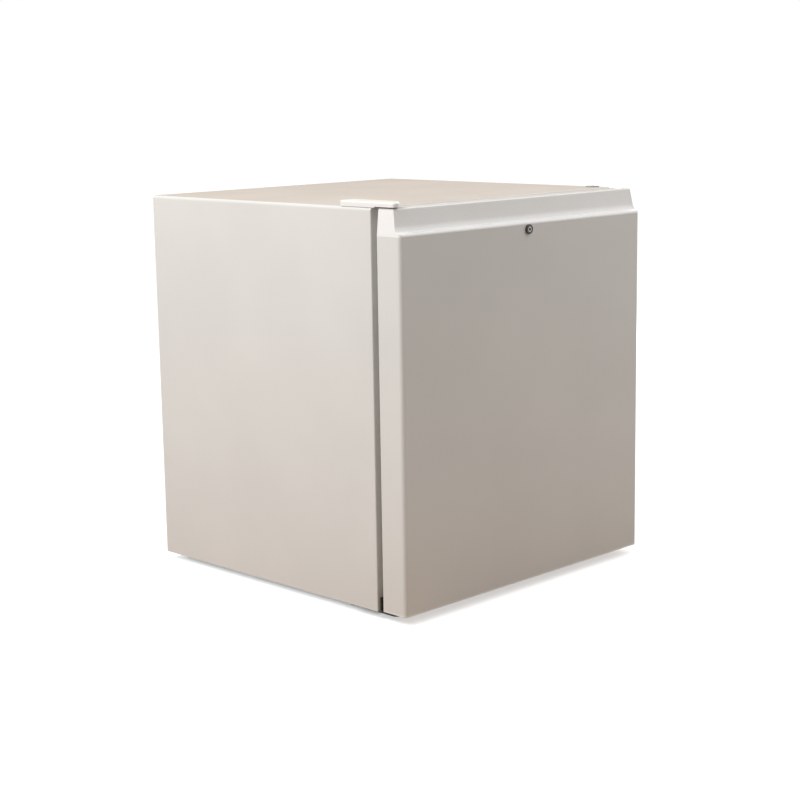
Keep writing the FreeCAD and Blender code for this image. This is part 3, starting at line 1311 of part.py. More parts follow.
def build():
    """Every piece by its node's name, with holes cut by what passes through them."""
    parts = {}
    compressor = compressor_shell()
    condenser = condenser_tube()

    top_screws = top_hinge_screws()
    bottom_screws = bottom_hinge_screws()
    panel_screws = back_panel_screws()
    keeper_screws = lock_keeper_screws()
    bracket_screws = condenser_screws()
    hole_plug = hinge_hole_plug()
    feet = rear_feet()
    suction = suction_line(compressor)
    capillary = capillary_tube()
    probe = thermostat_probe()
    gland = cord_gland()
    gland_seat = at(CONTROL_X, CONTROL_FRONT, GLAND_Z)
    gland_core = rod(gland_seat, at(CONTROL_X, CONTROL_BACK, GLAND_Z), GLAND_RADIUS)
    anchors = [plate.cut(top_screws + [hole_plug]) for plate in hinge_anchor_plates()]
    evaporator = evaporator_plate()
    evaporator_line = evaporator_tube()

    parts["cabinet_shell"] = cabinet_shell().cut(top_screws + panel_screws + [hole_plug])
    parts["back_panel"] = back_panel().cut(panel_screws + bracket_screws)
    parts["back_panel_screws"] = panel_screws
    parts["base_pan"] = base_pan().cut(bottom_screws + foot_holes())
    parts["machine_compartment_plate"] = machine_compartment_plate().cut([suction, capillary, probe])
    parts["compressor_tray"] = compressor_tray().cut(feet)
    parts["freezer_liner"] = freezer_liner().cut(keeper_screws)
    parts["wire_shelf"] = wire_shelf()

    embedded = [evaporator, evaporator_line, suction, capillary, probe]
    embedded += anchors + top_screws + bottom_screws + panel_screws + bracket_screws + keeper_screws
    embedded += foot_nut_blocks() + [hole_plug, panel_flange()]
    parts["cabinet_foam"] = cabinet_foam(embedded)

    parts["evaporator_plate"] = evaporator
    parts["evaporator_tube"] = evaporator_line
    parts["suction_line"] = suction
    parts["capillary_tube"] = capillary
    parts["discharge_line"] = discharge_line(compressor)
    parts["process_tube"] = process_tube(compressor)
    parts["filter_drier"] = filter_drier()
    parts["condenser_tube"] = condenser
    parts["condenser_wires"] = condenser_wires()
    parts["condenser_brackets"] = [clip.cut(bracket_screws) for clip in condenser_brackets(condenser)]
    parts["condenser_screws"] = bracket_screws

    grommets = compressor_grommets()
    bolts = compressor_bolts()
    parts["compressor_shell"] = compressor
    parts["compressor_foot_plate"] = compressor_foot_plate().cut(grommets)
    parts["compressor_grommets"] = [spool.cut(bolts) for spool in grommets]
    parts["compressor_bolts"] = bolts
    parts["compressor_terminal_cover"] = compressor_terminal_cover(compressor)

    parts["thermostat_bracket"] = thermostat_bracket().cut(gland_core)
    parts["thermostat_body"] = thermostat_body()
    parts["thermostat_knob"] = thermostat_knob()
    parts["thermostat_probe"] = probe
    parts["cord_gland"] = gland

    top_pin = top_hinge_pin()
    bottom_pin = bottom_hinge_pin()
    parts["top_hinge_plate"] = top_hinge_plate().cut(top_screws + [top_pin])
    parts["top_hinge_pin"] = top_pin
    parts["top_hinge_screws"] = top_screws
    parts["hinge_anchor_plates"] = anchors
    parts["hinge_cover"] = hinge_cover()
    parts["hinge_hole_plug"] = hole_plug
    parts["bottom_hinge_plate"] = bottom_hinge_plate().cut(bottom_screws + [bottom_pin])
    parts["bottom_hinge_pin"] = bottom_pin
    parts["bottom_hinge_screws"] = bottom_screws
    parts["lock_keeper"] = lock_keeper().cut(keeper_screws)
    parts["lock_keeper_screws"] = keeper_screws

    parts["front_foot_left"] = front_foot(-1)
    parts["front_foot_right"] = front_foot(1)
    parts["foot_nuts"] = foot_nuts()
    parts["rear_feet"] = feet

    bush_plugs = door_bush_plugs()
    bush_room = bush_blocks() + bush_plugs
    lock_body = along_lock(DOOR_FACE, HOUSING_RADIUS, DOOR_BACK)
    magnets = gasket_magnets()
    inner_liner = door_liner().cut(lock_body)
    parts["door_panel"] = door_panel().cut(lock_body)
    parts["door_top_cap"] = door_top_cap().cut(bush_room)
    parts["door_bottom_cap"] = door_bottom_cap().cut(bush_room)
    parts["door_liner"] = inner_liner
    parts["door_foam"] = door_foam(bush_room + [lock_body, inner_liner])
    parts["door_gasket"] = door_gasket(magnets)
    parts["gasket_magnets"] = magnets
    parts["door_hinge_bushes"] = door_hinge_bushes()
    parts["door_bush_plugs"] = bush_plugs
    parts["lock_housing"] = lock_housing()
    parts["lock_nut"] = lock_nut()

    cam_screw = lock_cam_screw()
    parts["lock_barrel"] = lock_barrel().cut(cam_screw)
    parts["lock_cam"] = lock_cam().cut(cam_screw)
    parts["lock_cam_screw"] = cam_screw
    return parts


def main():
    os.makedirs("parts", exist_ok=True)
    for name, piece in build().items():
        solids = []
        for shape in piece if isinstance(piece, list) else [piece]:
            solids.extend(shape.Solids)
        shape = solids[0] if len(solids) == 1 else Part.makeCompound(solids)
        shape.exportStep("parts/" + name + ".step")
        print(name, len(solids), "solids", round(shape.Volume / 1000, 2), "cm3", shape.isValid())


main()
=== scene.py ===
# %% [markdown]
# # A compact upright freezer
# This lesson dresses a finished CAD model of a table-top freezer. The steel, the plastic and the machinery
# keep the shapes that they were built with. Blender adds what CAD left plain: the folded door gasket, the
# crosses in the screw heads, the printed scale round the thermostat, and a real surface on every piece.

# %% Load the frame
import json
import math

import bpy
from mathutils import Matrix, Vector


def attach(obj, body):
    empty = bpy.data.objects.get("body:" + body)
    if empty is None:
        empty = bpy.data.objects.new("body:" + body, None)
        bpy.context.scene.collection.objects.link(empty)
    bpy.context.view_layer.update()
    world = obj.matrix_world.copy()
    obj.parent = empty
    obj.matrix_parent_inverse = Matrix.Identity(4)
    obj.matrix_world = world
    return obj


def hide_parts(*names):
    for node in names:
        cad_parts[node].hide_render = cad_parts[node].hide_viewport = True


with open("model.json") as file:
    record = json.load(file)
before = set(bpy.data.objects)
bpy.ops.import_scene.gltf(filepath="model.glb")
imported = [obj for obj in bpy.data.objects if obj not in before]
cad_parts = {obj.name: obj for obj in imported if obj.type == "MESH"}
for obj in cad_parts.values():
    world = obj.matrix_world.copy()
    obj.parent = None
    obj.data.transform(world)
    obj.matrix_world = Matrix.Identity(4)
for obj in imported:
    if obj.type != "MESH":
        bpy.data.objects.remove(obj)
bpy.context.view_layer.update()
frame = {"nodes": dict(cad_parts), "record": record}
nodes = frame["nodes"]


def corners_of(name):
    """All the vertices of a CAD node, in the shared frame."""
    return [nodes[name].matrix_world @ v.co for v in nodes[name].data.vertices]


def span(name):
    """The low and high corner of a CAD node's box."""
    points = corners_of(name)
    return (Vector(min(p[axis] for p in points) for axis in range(3)),
            Vector(max(p[axis] for p in points) for axis in range(3)))


# %% [markdown]
# ## Colour and pattern size
# Colours are picked as sRGB hex, as on a paint chart, but shaders work in linear light, so one function
# converts them. A pattern's scale in Blender is repeats per metre here, because the model is in metres and
# Object coordinates are too, so a size in millimetres becomes a scale by one division.

# %% Colour and pattern size
MM = 0.001


def linear(hex_colour):
    """sRGB hex to the linear colour that a shader socket wants."""
    values = [int(hex_colour[i:i + 2], 16) / 255 for i in (1, 3, 5)]
    return [v / 12.92 if v <= 0.04045 else ((v + 0.055) / 1.055) ** 2.4 for v in values] + [1.0]


def repeats(size_mm):
    """Texture scale for a pattern whose features are this many millimetres apart."""
    return 1 / (size_mm * MM)


print("white is", [round(v, 3) for v in linear("#FFFFFF")], "and 5 mm is a scale of", repeats(5))

# %% [markdown]
# ## Nodes and finishes
# A material is a small graph of nodes. Each node could be placed and wired by hand in the shader editor; in
# a script one function adds a node, sets it and wires it, so a finish reads as a list of what feeds what.
# The finishes are kept in one dictionary under the names of the record's material slots.

# %% Nodes and finishes
finishes = {}


def feed(node, inputs):
    """Fill a node's sockets; an input is a plain value or another node's output socket."""
    for name, value in inputs.items():
        if isinstance(value, bpy.types.NodeSocket):
            node.id_data.links.new(value, node.inputs[name])
        else:
            node.inputs[name].default_value = value


def add_node(owner, kind, inputs, stops=(), **settings):
    """One node with its settings; stops are a colour ramp's (place, hex colour) pairs."""
    node = owner.node_tree.nodes.new(kind)
    for name, value in settings.items():
        setattr(node, name, value)
    feed(node, inputs)
    for index, (place, hex_colour) in enumerate(stops):
        node.color_ramp.elements[index].position = place
        node.color_ramp.elements[index].color = linear(hex_colour)
    return node


def new_finish(name):
    """A fresh material with its shader and the coordinates that its patterns use."""
    material = bpy.data.materials.new(name)
    material.use_nodes = True
    shader = material.node_tree.nodes["Principled BSDF"]
    place = add_node(material, "ShaderNodeTexCoord", {}).outputs["Object"]
    return material, shader, place


def keep_finish(slot, material):
    """Store a finish under a slot name and say what was made."""
    finishes[slot] = material
    print(slot, "is", material.name, "with", len(material.node_tree.nodes), "nodes")


print("node helpers ready")

# %% [markdown]
# ## A painted reflection on top
# The top faces of the freezer look cream and duller than its sides, from the warm light that they reflect,
# and that reflection is painted into their colour. A second material could be given to the upper faces, but
# the
# CAD meshes stay as they are, so the tint goes by height instead: just below the top, the colour turns to a
# painted cream and the gloss is lowered. The paint and the plastic both use it.

# %% A painted reflection on top
TINT_DEPTH = 0.4 * MM
TINT_ROUGHNESS = 0.85
UNTINTED_SHINE, TINT_SHINE = 0.5, 0.2
# A mix node's colour sockets share their names with its number sockets, so they go by their places
COLOUR_A, COLOUR_B, COLOUR_OUT = 6, 7, 2


def painted_top_tint(material, place, top, untinted, painted_tint, untinted_roughness):
    """Shader inputs for a surface whose colour turns to a painted reflection tint from just below a height.
    """
    height = add_node(material, "ShaderNodeSeparateXYZ", {"Vector": place})
    tint = add_node(material, "ShaderNodeMapRange",
                    {"Value": height.outputs["Z"], "From Min": top - TINT_DEPTH, "From Max": top})
    cover = tint.outputs["Result"]
    colour = add_node(material, "ShaderNodeMix", {0: cover, COLOUR_A: untinted, COLOUR_B: painted_tint},
                      data_type="RGBA")
    gloss = add_node(material, "ShaderNodeMapRange",
                     {"Value": cover, "To Min": untinted_roughness, "To Max": TINT_ROUGHNESS})
    shine = add_node(material, "ShaderNodeMapRange",
                     {"Value": cover, "To Min": UNTINTED_SHINE, "To Max": TINT_SHINE})
    return {"Base Color": colour.outputs[COLOUR_OUT], "Roughness": gloss.outputs["Result"],
            "Specular IOR Level": shine.outputs["Result"]}


print("the film starts", round(TINT_DEPTH / MM, 2), "mm below a top")

# %% [markdown]
# ## White painted steel
# The cabinet wrap and the door front are steel sheet, coated white before it was folded. Such a coat is not
# a mirror: rollers leave a faint orange peel a few millimetres across. One flat white would look like paper,
# so one noise tilts the normal very slightly and another shifts the white by a shade.

# %% White painted steel
# Noise keeps near the middle of its range, so most colour ramps run between these places
RAMP_LOW, RAMP_HIGH = 0.35, 0.65


def white_painted_steel():
    material, shader, place = new_finish("prepainted_steel_white")
    cloud = add_node(material, "ShaderNodeTexNoise",
                     {"Vector": place, "Scale": repeats(160), "Detail": 3.0})
    peel = add_node(material, "ShaderNodeTexNoise",
                    {"Vector": place, "Scale": repeats(3.2), "Detail": 2.0})
    paint = add_node(material, "ShaderNodeValToRGB", {"Fac": cloud.outputs["Fac"]},
                     stops=[(RAMP_LOW, "#E1DFDC"), (RAMP_HIGH, "#E5E3E0")])
    # Painted reflection: the cream that the paint's top faces turn to
    painted_tint = add_node(material, "ShaderNodeValToRGB", {"Fac": cloud.outputs["Fac"]},
                        stops=[(RAMP_LOW, "#C8BDB1"), (RAMP_HIGH, "#CEC3B8")])
    bump = add_node(material, "ShaderNodeBump",
                    {"Height": peel.outputs["Fac"], "Strength": 0.06, "Distance": 0.6 * MM})
    feed(shader, painted_top_tint(material, place, span("cabinet_shell")[1].z, paint.outputs["Color"],
                        painted_tint.outputs["Color"], untinted_roughness=0.4))
    feed(shader, {"Normal": bump.outputs["Normal"], "IOR": 1.5})
    return material


keep_finish("white_painted_steel", white_painted_steel())

# %% [markdown]
# ## White moulded plastic
# The grip along the door's top, the hinge cover and the liners are moulded polystyrene and ABS, a brighter
# white than the paint beside it. The mould was spark-textured, so a fine grain breaks the gloss. A picture
# of the grain could be wrapped round each piece; a noise in the object's own coordinates needs no unwrapping
# and keeps its size everywhere. It is drawn at 0.9 mm, coarser than the real grain, so that it shows. The
# top faces get the painted reflection too: a pale cream on the hinge cover and a darker one on the door's
# cap, so the cap takes a second copy.

# %% White moulded plastic
def white_moulded_plastic(name, top, tint_low, tint_high):
    material, shader, place = new_finish(name)
    cloud = add_node(material, "ShaderNodeTexNoise",
                     {"Vector": place, "Scale": repeats(90), "Detail": 4.0})
    grain = add_node(material, "ShaderNodeTexNoise",
                     {"Vector": place, "Scale": repeats(0.9), "Detail": 1.0})
    plastic = add_node(material, "ShaderNodeValToRGB", {"Fac": cloud.outputs["Fac"]},
                       stops=[(RAMP_LOW, "#F4F2F0"), (RAMP_HIGH, "#F8F6F4")])
    # Painted reflection: the tint that the plastic's top faces turn to
    painted_tint = add_node(material, "ShaderNodeValToRGB", {"Fac": cloud.outputs["Fac"]},
                        stops=[(RAMP_LOW, tint_low), (RAMP_HIGH, tint_high)])
    polish = add_node(material, "ShaderNodeMapRange",
                      {"Value": grain.outputs["Fac"], "To Min": 0.22, "To Max": 0.36})
    bump = add_node(material, "ShaderNodeBump",
                    {"Height": grain.outputs["Fac"], "Strength": 0.06, "Distance": 0.3 * MM})
    feed(shader, painted_top_tint(material, place, top, plastic.outputs["Color"], painted_tint.outputs["Color"],
                        untinted_roughness=polish.outputs["Result"]))
    feed(shader, {"Normal": bump.outputs["Normal"], "IOR": 1.57, "Subsurface Weight": 0.05,
                  "Subsurface Scale": 1.0, "Subsurface Radius": (2.0 * MM, 1.8 * MM, 1.5 * MM)})
    return material


# The hinge cover's top gets a pale painted reflection tint, the door's cap a darker one
keep_finish("white_moulded_plastic", white_moulded_plastic(
    "moulded_styrene_white", span("hinge_cover")[1].z, "#E1DED1", "#E5E2D5"))
keep_finish("painted_top_tint_cap", white_moulded_plastic(
    "moulded_styrene_white_painted_top_tint", span("door_top_cap")[1].z, "#CBC5BD", "#D1CBC3"))

# %% [markdown]
# ## Galvanised sheet
# The back panel, base pan and tray are hot-dip galvanised: zinc froze on them in flat crystals called
# spangle, each with its own shade. A noise would give clouds without edges, so a cell pattern is used: its
# cells meet along straight borders, like crystals that grew until they touched. A noise then lays dust over
# the gloss.

# %% Galvanised sheet
def galvanised_sheet():
    material, shader, place = new_finish("hot_dip_galvanised_steel")
    spangle = add_node(material, "ShaderNodeTexVoronoi", {"Vector": place, "Scale": repeats(9)})
    dust = add_node(material, "ShaderNodeTexNoise",
                    {"Vector": place, "Scale": repeats(45), "Detail": 5.0})
    colour = add_node(material, "ShaderNodeValToRGB", {"Fac": spangle.outputs["Color"]},
                      stops=[(0.1, "#9CA0A1"), (0.9, "#C2C5C4")])
    gloss = add_node(material, "ShaderNodeMapRange",
                     {"Value": dust.outputs["Fac"], "To Min": 0.32, "To Max": 0.6})
    feed(shader, {"Base Color": colour.outputs["Color"], "Roughness": gloss.outputs["Result"],
                  "Metallic": 1.0})
    return material


keep_finish("galvanised_sheet", galvanised_sheet())

# %% [markdown]
# ## Zinc plate
# The hinges and screws are plated in a bath with current. Such zinc is brighter than the dipped kind and its
# crystals are too small to see, so cells would be wrong here. One noise with much detail drives the shade
# and the gloss together, because the darker spots are also the smoother ones.

# %% Zinc plate
def zinc_plated_steel():
    material, shader, place = new_finish("electroplated_zinc")
    cloud = add_node(material, "ShaderNodeTexNoise",
                     {"Vector": place, "Scale": repeats(6), "Detail": 6.0})
    colour = add_node(material, "ShaderNodeValToRGB", {"Fac": cloud.outputs["Fac"]},
                      stops=[(RAMP_LOW, "#B4B3AD"), (RAMP_HIGH, "#CFCFCB")])
    gloss = add_node(material, "ShaderNodeMapRange",
                     {"Value": cloud.outputs["Fac"], "To Min": 0.24, "To Max": 0.42})
    feed(shader, {"Base Color": colour.outputs["Color"], "Roughness": gloss.outputs["Result"],
                  "Metallic": 1.0})
    return material


keep_finish("zinc_plated_steel", zinc_plated_steel())

# %% [markdown]
# ## Dipped black paint
# The compressor and the condenser are dipped in black paint, which runs a little and gathers pale dust. The
# runs could be modelled, but they are under a millimetre high, so a bump is enough. The dust is one noise
# that lightens the black and dulls it at once.

# %% Dipped black paint
def black_painted_steel():
    material, shader, place = new_finish("dipped_black_paint")
    dust = add_node(material, "ShaderNodeTexNoise",
                    {"Vector": place, "Scale": repeats(30), "Detail": 6.0})
    drips = add_node(material, "ShaderNodeTexNoise",
                     {"Vector": place, "Scale": repeats(7), "Detail": 2.0})
    colour = add_node(material, "ShaderNodeValToRGB", {"Fac": dust.outputs["Fac"]},
                      stops=[(0.4, "#161616"), (0.8, "#2C2B2A")])
    gloss = add_node(material, "ShaderNodeMapRange",
                     {"Value": dust.outputs["Fac"], "To Min": 0.28, "To Max": 0.58})
    bump = add_node(material, "ShaderNodeBump",
                    {"Height": drips.outputs["Fac"], "Strength": 0.12, "Distance": 0.8 * MM})
    feed(shader, {"Base Color": colour.outputs["Color"], "Roughness": gloss.outputs["Result"],
                  "Normal": bump.outputs["Normal"]})
    return material


keep_finish("black_painted_steel", black_painted_steel())

# %% [markdown]
# ## Drawn copper
# The refrigerant lines are drawn copper tube that has dulled in patches from bright orange to brown. Colour
# and gloss could each have a noise of their own, but a brown patch is also the duller one, so both come from
# the same noise.

# %% Drawn copper
def drawn_copper():
    material, shader, place = new_finish("drawn_copper_tube")
    tarnish = add_node(material, "ShaderNodeTexNoise",
                       {"Vector": place, "Scale": repeats(22), "Detail": 5.0})
    colour = add_node(material, "ShaderNodeValToRGB", {"Fac": tarnish.outputs["Fac"]},
                      stops=[(0.3, "#8A5238"), (0.7, "#C98562")])
    gloss = add_node(material, "ShaderNodeMapRange",
                     {"Value": tarnish.outputs["Fac"], "To Min": 0.5, "To Max": 0.26})
    feed(shader, {"Base Color": colour.outputs["Color"], "Roughness": gloss.outputs["Result"],
                  "Metallic": 1.0})
    return material


keep_finish("drawn_copper", drawn_copper())

# %% [markdown]
# ## Rolled aluminium
# The evaporator is rolled aluminium with faint lines along the rolling direction. A wave pattern would draw
# them too evenly, so a noise is stretched along one axis. The lines are drawn 0.8 mm apart, coarser than
# real ones, so that they show.

# %% Rolled aluminium
# How many times longer than wide a rolling line is
LINE_LENGTH = 25


def rolled_aluminium():
    material, shader, place = new_finish("rolled_aluminium_sheet")
    along = add_node(material, "ShaderNodeMapping", {"Vector": place, "Scale": (1, 1 / LINE_LENGTH, 1)})
    lines = add_node(material, "ShaderNodeTexNoise",
                     {"Vector": along.outputs["Vector"], "Scale": repeats(0.8)})
    colour = add_node(material, "ShaderNodeValToRGB", {"Fac": lines.outputs["Fac"]},
                      stops=[(RAMP_LOW, "#C6C8CA"), (RAMP_HIGH, "#DADCDD")])
    gloss = add_node(material, "ShaderNodeMapRange",
                     {"Value": lines.outputs["Fac"], "To Min": 0.3, "To Max": 0.45})
    feed(shader, {"Base Color": colour.outputs["Color"], "Roughness": gloss.outputs["Result"],
                  "Metallic": 1.0})
    return material


keep_finish("rolled_aluminium", rolled_aluminium())

# %% [markdown]
# ## Dark plastics and rubber
# Filled nylon and ABS in black or grey have a fine moulded grain, and so has rubber, which is nearly black.
# The plug in the spare hinge hole on top is a mid grey, a painted shade for the hollow that it sits in. Each
# could be a material built by itself, but all of them come from a mould, so one function serves, given the
# two shades and the size of the grain.

# %% Dark plastics and rubber
def moulded_plastic(name, low, high, grain_mm):
    """The grain is drawn about three times coarser than a mould's texture, so that it shows."""
    material, shader, place = new_finish(name)
    grain = add_node(material, "ShaderNodeTexNoise",
                     {"Vector": place, "Scale": repeats(grain_mm), "Detail": 2.0})
    cloud = add_node(material, "ShaderNodeTexNoise",
                     {"Vector": place, "Scale": repeats(24), "Detail": 3.0})
    colour = add_node(material, "ShaderNodeValToRGB", {"Fac": cloud.outputs["Fac"]},
                      stops=[(RAMP_LOW, low), (RAMP_HIGH, high)])
    gloss = add_node(material, "ShaderNodeMapRange",
                     {"Value": grain.outputs["Fac"], "To Min": 0.38, "To Max": 0.58})
    bump = add_node(material, "ShaderNodeBump",
                    {"Height": grain.outputs["Fac"], "Strength": 0.2, "Distance": 0.2 * MM})
    feed(shader, {"Base Color": colour.outputs["Color"], "Roughness": gloss.outputs["Result"],
                  "Normal": bump.outputs["Normal"]})
    return material


keep_finish("black_moulded_plastic", moulded_plastic("moulded_abs_black", "#231F1D", "#2E2A27", 0.8))
# Painted shade: the plug's mid grey stands in for the shade of the hollow that it sits in
keep_finish("plug_painted_shade", moulded_plastic("moulded_abs_grey_painted_shade", "#86837F", "#928F8B", 0.8))
keep_finish("grey_acetal", moulded_plastic("moulded_acetal_grey", "#B9B8B4", "#C6C5C1", 1.0))
keep_finish("black_rubber", moulded_plastic("cured_rubber_black", "#1A1919", "#262525", 1.4))

# %% [markdown]
# ## Gasket vinyl
# The gasket is extruded vinyl, a dull grey whose shade drifts a little along the strip. A die leaves it
# smooth, so it gets no bump: one noise, about a strip's width across, moves the grey and the gloss.

# %% Gasket vinyl
def grey_gasket_vinyl():
    material, shader, place = new_finish("extruded_vinyl_grey")
    drift = add_node(material, "ShaderNodeTexNoise",
                     {"Vector": place, "Scale": repeats(12), "Detail": 4.0})
    colour = add_node(material, "ShaderNodeValToRGB", {"Fac": drift.outputs["Fac"]},
                      stops=[(RAMP_LOW, "#B5B7B5"), (RAMP_HIGH, "#C3C5C3")])
    gloss = add_node(material, "ShaderNodeMapRange",
                     {"Value": drift.outputs["Fac"], "To Min": 0.45, "To Max": 0.6})
    feed(shader, {"Base Color": colour.outputs["Color"], "Roughness": gloss.outputs["Result"]})
    return material


keep_finish("grey_gasket_vinyl", grey_gasket_vinyl())

# %% [markdown]
# ## Blown foam
# The insulation is blown foam, cream, with a skin full of small cells. It is shut in between the shells and
# shows when the model is taken apart. A noise bump would look like sand; a cell pattern has the foam's round
# hollows, so its distance value drives both the colour and the relief.

# %% Blown foam
def rigid_foam():
    material, shader, place = new_finish("blown_polyurethane_foam")
    cells = add_node(material, "ShaderNodeTexVoronoi", {"Vector": place, "Scale": repeats(2.5)})
    colour = add_node(material, "ShaderNodeValToRGB", {"Fac": cells.outputs["Distance"]},
                      stops=[(0.0, "#CDB77C"), (0.6, "#E6D9AE")])
    bump = add_node(material, "ShaderNodeBump",
                    {"Height": cells.outputs["Distance"], "Strength": 0.4, "Distance": 0.8 * MM})
    feed(shader, {"Base Color": colour.outputs["Color"], "Normal": bump.outputs["Normal"],
                  "Roughness": 0.9})
    return material


keep_finish("rigid_foam", rigid_foam())

# %% [markdown]
# ## Coated wire
# The shelf is steel wire dipped in white plastic powder, which melts to a smooth and slightly lumpy skin.
# The lumps could be sculpted, but half a millimetre is too little to show at the edge of a wire, so a bump
# stands in for them.

# %% Coated wire
def white_coated_wire():
    material, shader, place = new_finish("powder_dipped_wire_white")
    lumps = add_node(material, "ShaderNodeTexNoise",
                     {"Vector": place, "Scale": repeats(5), "Detail": 2.0})
    colour = add_node(material, "ShaderNodeValToRGB", {"Fac": lumps.outputs["Fac"]},
                      stops=[(RAMP_LOW, "#E7E6E1"), (RAMP_HIGH, "#F0EFEB")])
    bump = add_node(material, "ShaderNodeBump",
                    {"Height": lumps.outputs["Fac"], "Strength": 0.15, "Distance": 0.5 * MM})
    feed(shader, {"Base Color": colour.outputs["Color"], "Normal": bump.outputs["Normal"],
                  "Roughness": 0.32})
    return material


keep_finish("white_coated_wire", white_coated_wire())

# %% [markdown]
# ## Nickel plate
# The lock's barrel is brass with nickel on it, dulled and scratched by use, so its roughness is uneven.
# Behind its face the barrel is painted nearly black: a painted shade, which is what shows in the keyhole.
# The keyhole's faces could get a material of their own, but a blend by depth leaves the CAD mesh as it is.

# %% Nickel plate
KEYHOLE_SHADE_DEPTH = 0.6 * MM


def nickel_plated_brass():
    material, shader, place = new_finish("nickel_plated_brass")
    face = span("lock_barrel")[0].y
    scuff = add_node(material, "ShaderNodeTexNoise",
                     {"Vector": place, "Scale": repeats(1.5), "Detail": 6.0})
    dulled = add_node(material, "ShaderNodeValToRGB", {"Fac": scuff.outputs["Fac"]},
                      stops=[(RAMP_LOW, "#A09C95"), (RAMP_HIGH, "#B4B1AB")])
    # Painted shade: the faces behind the barrel's face, inside the keyhole, turn nearly black
    painted_keyhole_shade = add_node(material, "ShaderNodeValToRGB", {"Fac": scuff.outputs["Fac"]},
                      stops=[(RAMP_LOW, "#14120F"), (RAMP_HIGH, "#24211D")])
    depth = add_node(material, "ShaderNodeSeparateXYZ", {"Vector": place})
    inside = add_node(material, "ShaderNodeMapRange",
                      {"Value": depth.outputs["Y"], "From Min": face, "From Max": face + KEYHOLE_SHADE_DEPTH})
    colour = add_node(material, "ShaderNodeMix",
                      {0: inside.outputs["Result"], COLOUR_A: dulled.outputs["Color"],
                       COLOUR_B: painted_keyhole_shade.outputs["Color"]}, data_type="RGBA")
    gloss = add_node(material, "ShaderNodeMapRange",
                     {"Value": scuff.outputs["Fac"], "To Min": 0.12, "To Max": 0.4})
    feed(shader, {"Base Color": colour.outputs[COLOUR_OUT], "Roughness": gloss.outputs["Result"],
                  "Metallic": 1.0})
    return material


keep_finish("nickel_plated_brass", nickel_plated_brass())

# %% [markdown]
# ## Dress the CAD nodes
# Every node in the record names a material slot. Each could be dressed by hand, but the finishes above are
# stored under those slot names, so one loop dresses the whole machine. Only the door's cap and the plug on
# top take finishes of their own.

# %% Dress the CAD nodes
OWN_FINISH = {"door_top_cap": "painted_top_tint_cap", "hinge_hole_plug": "plug_painted_shade"}

# The bottom hinge plate takes the black paint from its slot: partly a painted shade for the gap under the
# door's gasket
for piece in frame["record"]["subparts"]:
    mesh = nodes[piece["node"]].data
    mesh.materials.clear()
    mesh.materials.append(finishes[OWN_FINISH.get(piece["node"], piece["material_slot"])])

# %% [markdown]
# ## Modelling helpers
# An operator acts on whatever is selected, so each step first selects what it needs: whole objects, or the
# vertices and faces of one mesh that pass a test on their place or normal. A test could be replaced by fixed
# numbers of faces, but those change when a step before them changes. A finished piece is handed over: it
# gets its surface and the body that carries it, and the CAD node that it stands for is hidden.

# %% Modelling helpers
def choose(*pieces):
    """Select these objects and nothing else; the first becomes the active one."""
    bpy.ops.object.select_all(action="DESELECT")
    for piece in pieces:
        piece.select_set(True)
    if pieces:
        bpy.context.view_layer.objects.active = pieces[0]


def pick(kind, test):
    """Select the active mesh's vertices or faces that pass a test, and stay in edit mode."""
    bpy.ops.object.mode_set(mode="EDIT")
    bpy.ops.mesh.select_mode(type=kind)
    bpy.ops.mesh.select_all(action="DESELECT")
    bpy.ops.object.mode_set(mode="OBJECT")
    mesh = bpy.context.object.data
    for element in mesh.vertices if kind == "VERT" else mesh.polygons:
        element.select = test(element)
    bpy.ops.object.mode_set(mode="EDIT")


def hand_over(piece, body, slot, replaced=None):
    """Give a finished piece its surface and its body, and hide the node that it stands for."""
    piece.data.materials.clear()
    piece.data.materials.append(finishes[slot])
    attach(piece, body)
    if replaced:
        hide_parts(replaced)


print("modelling helpers ready")

# %% [markdown]
# ## Door gasket
# A freezer's gasket is a hollow vinyl strip, cut at 45 degrees and welded into a frame. It is widest where
# it grips the door, and its bellows draw in towards the sealing face, which carries the magnets. CAD built
# it as three steps. A profile could be swept along a curve, but a sweep pinches the section at the corners.
# Here a flat frame is pushed out level by level instead, so the mitres come free. The first cell makes that
# flat frame: a plane of the gasket's size, with its middle taken out.

# %% Flat frame of the gasket
GASKET_STRIP = 16 * MM

gasket_low, gasket_high = span("door_gasket")
half_width = (gasket_high.x - gasket_low.x) / 2
half_height = (gasket_high.z - gasket_low.z) / 2
choose()
bpy.ops.mesh.primitive_plane_add(size=2)
gasket = bpy.context.object
gasket.name = "gasket_bellows"
bpy.ops.object.mode_set(mode="EDIT")
bpy.ops.mesh.select_all(action="SELECT")
bpy.ops.transform.resize(value=(half_width, half_height, 1))
bpy.ops.mesh.inset(thickness=GASKET_STRIP)
bpy.ops.mesh.delete(type="FACE")
print("gasket frame", round(2 * half_width / MM, 1), "by", round(2 * half_height / MM, 1), "mm")

# %% [markdown]
# ## Bellows of the gasket
# The real bellows fold when the door shuts. Each level of their section is one push outwards and one scaling
# of the outer and the inner edges about the middle of the door, which keeps the strip's width even on all
# four sides.

# %% Bellows of the gasket
NEAR = 0.01 * MM
# A face is level when its normal is at least this upright
LEVEL = 0.9
# Every outer edge lies outside this share of the strip's width, and every inner edge inside it
OUTER_SHARE = 0.7
# Each level of the section: height from the door, then how far the outer and inner edges are set in
GASKET_LEVELS = [(0.0, 1.2, 14.8), (0.9, 0.3, 15.6), (2.6, 0.3, 16.0), (4.2, 1.6, 16.0), (5.6, 3.4, 16.0),
                 (6.8, 5.6, 16.0), (7.4, 7.2, 16.0), (9.0, 7.2, 16.0), (9.6, 7.8, 15.4)]

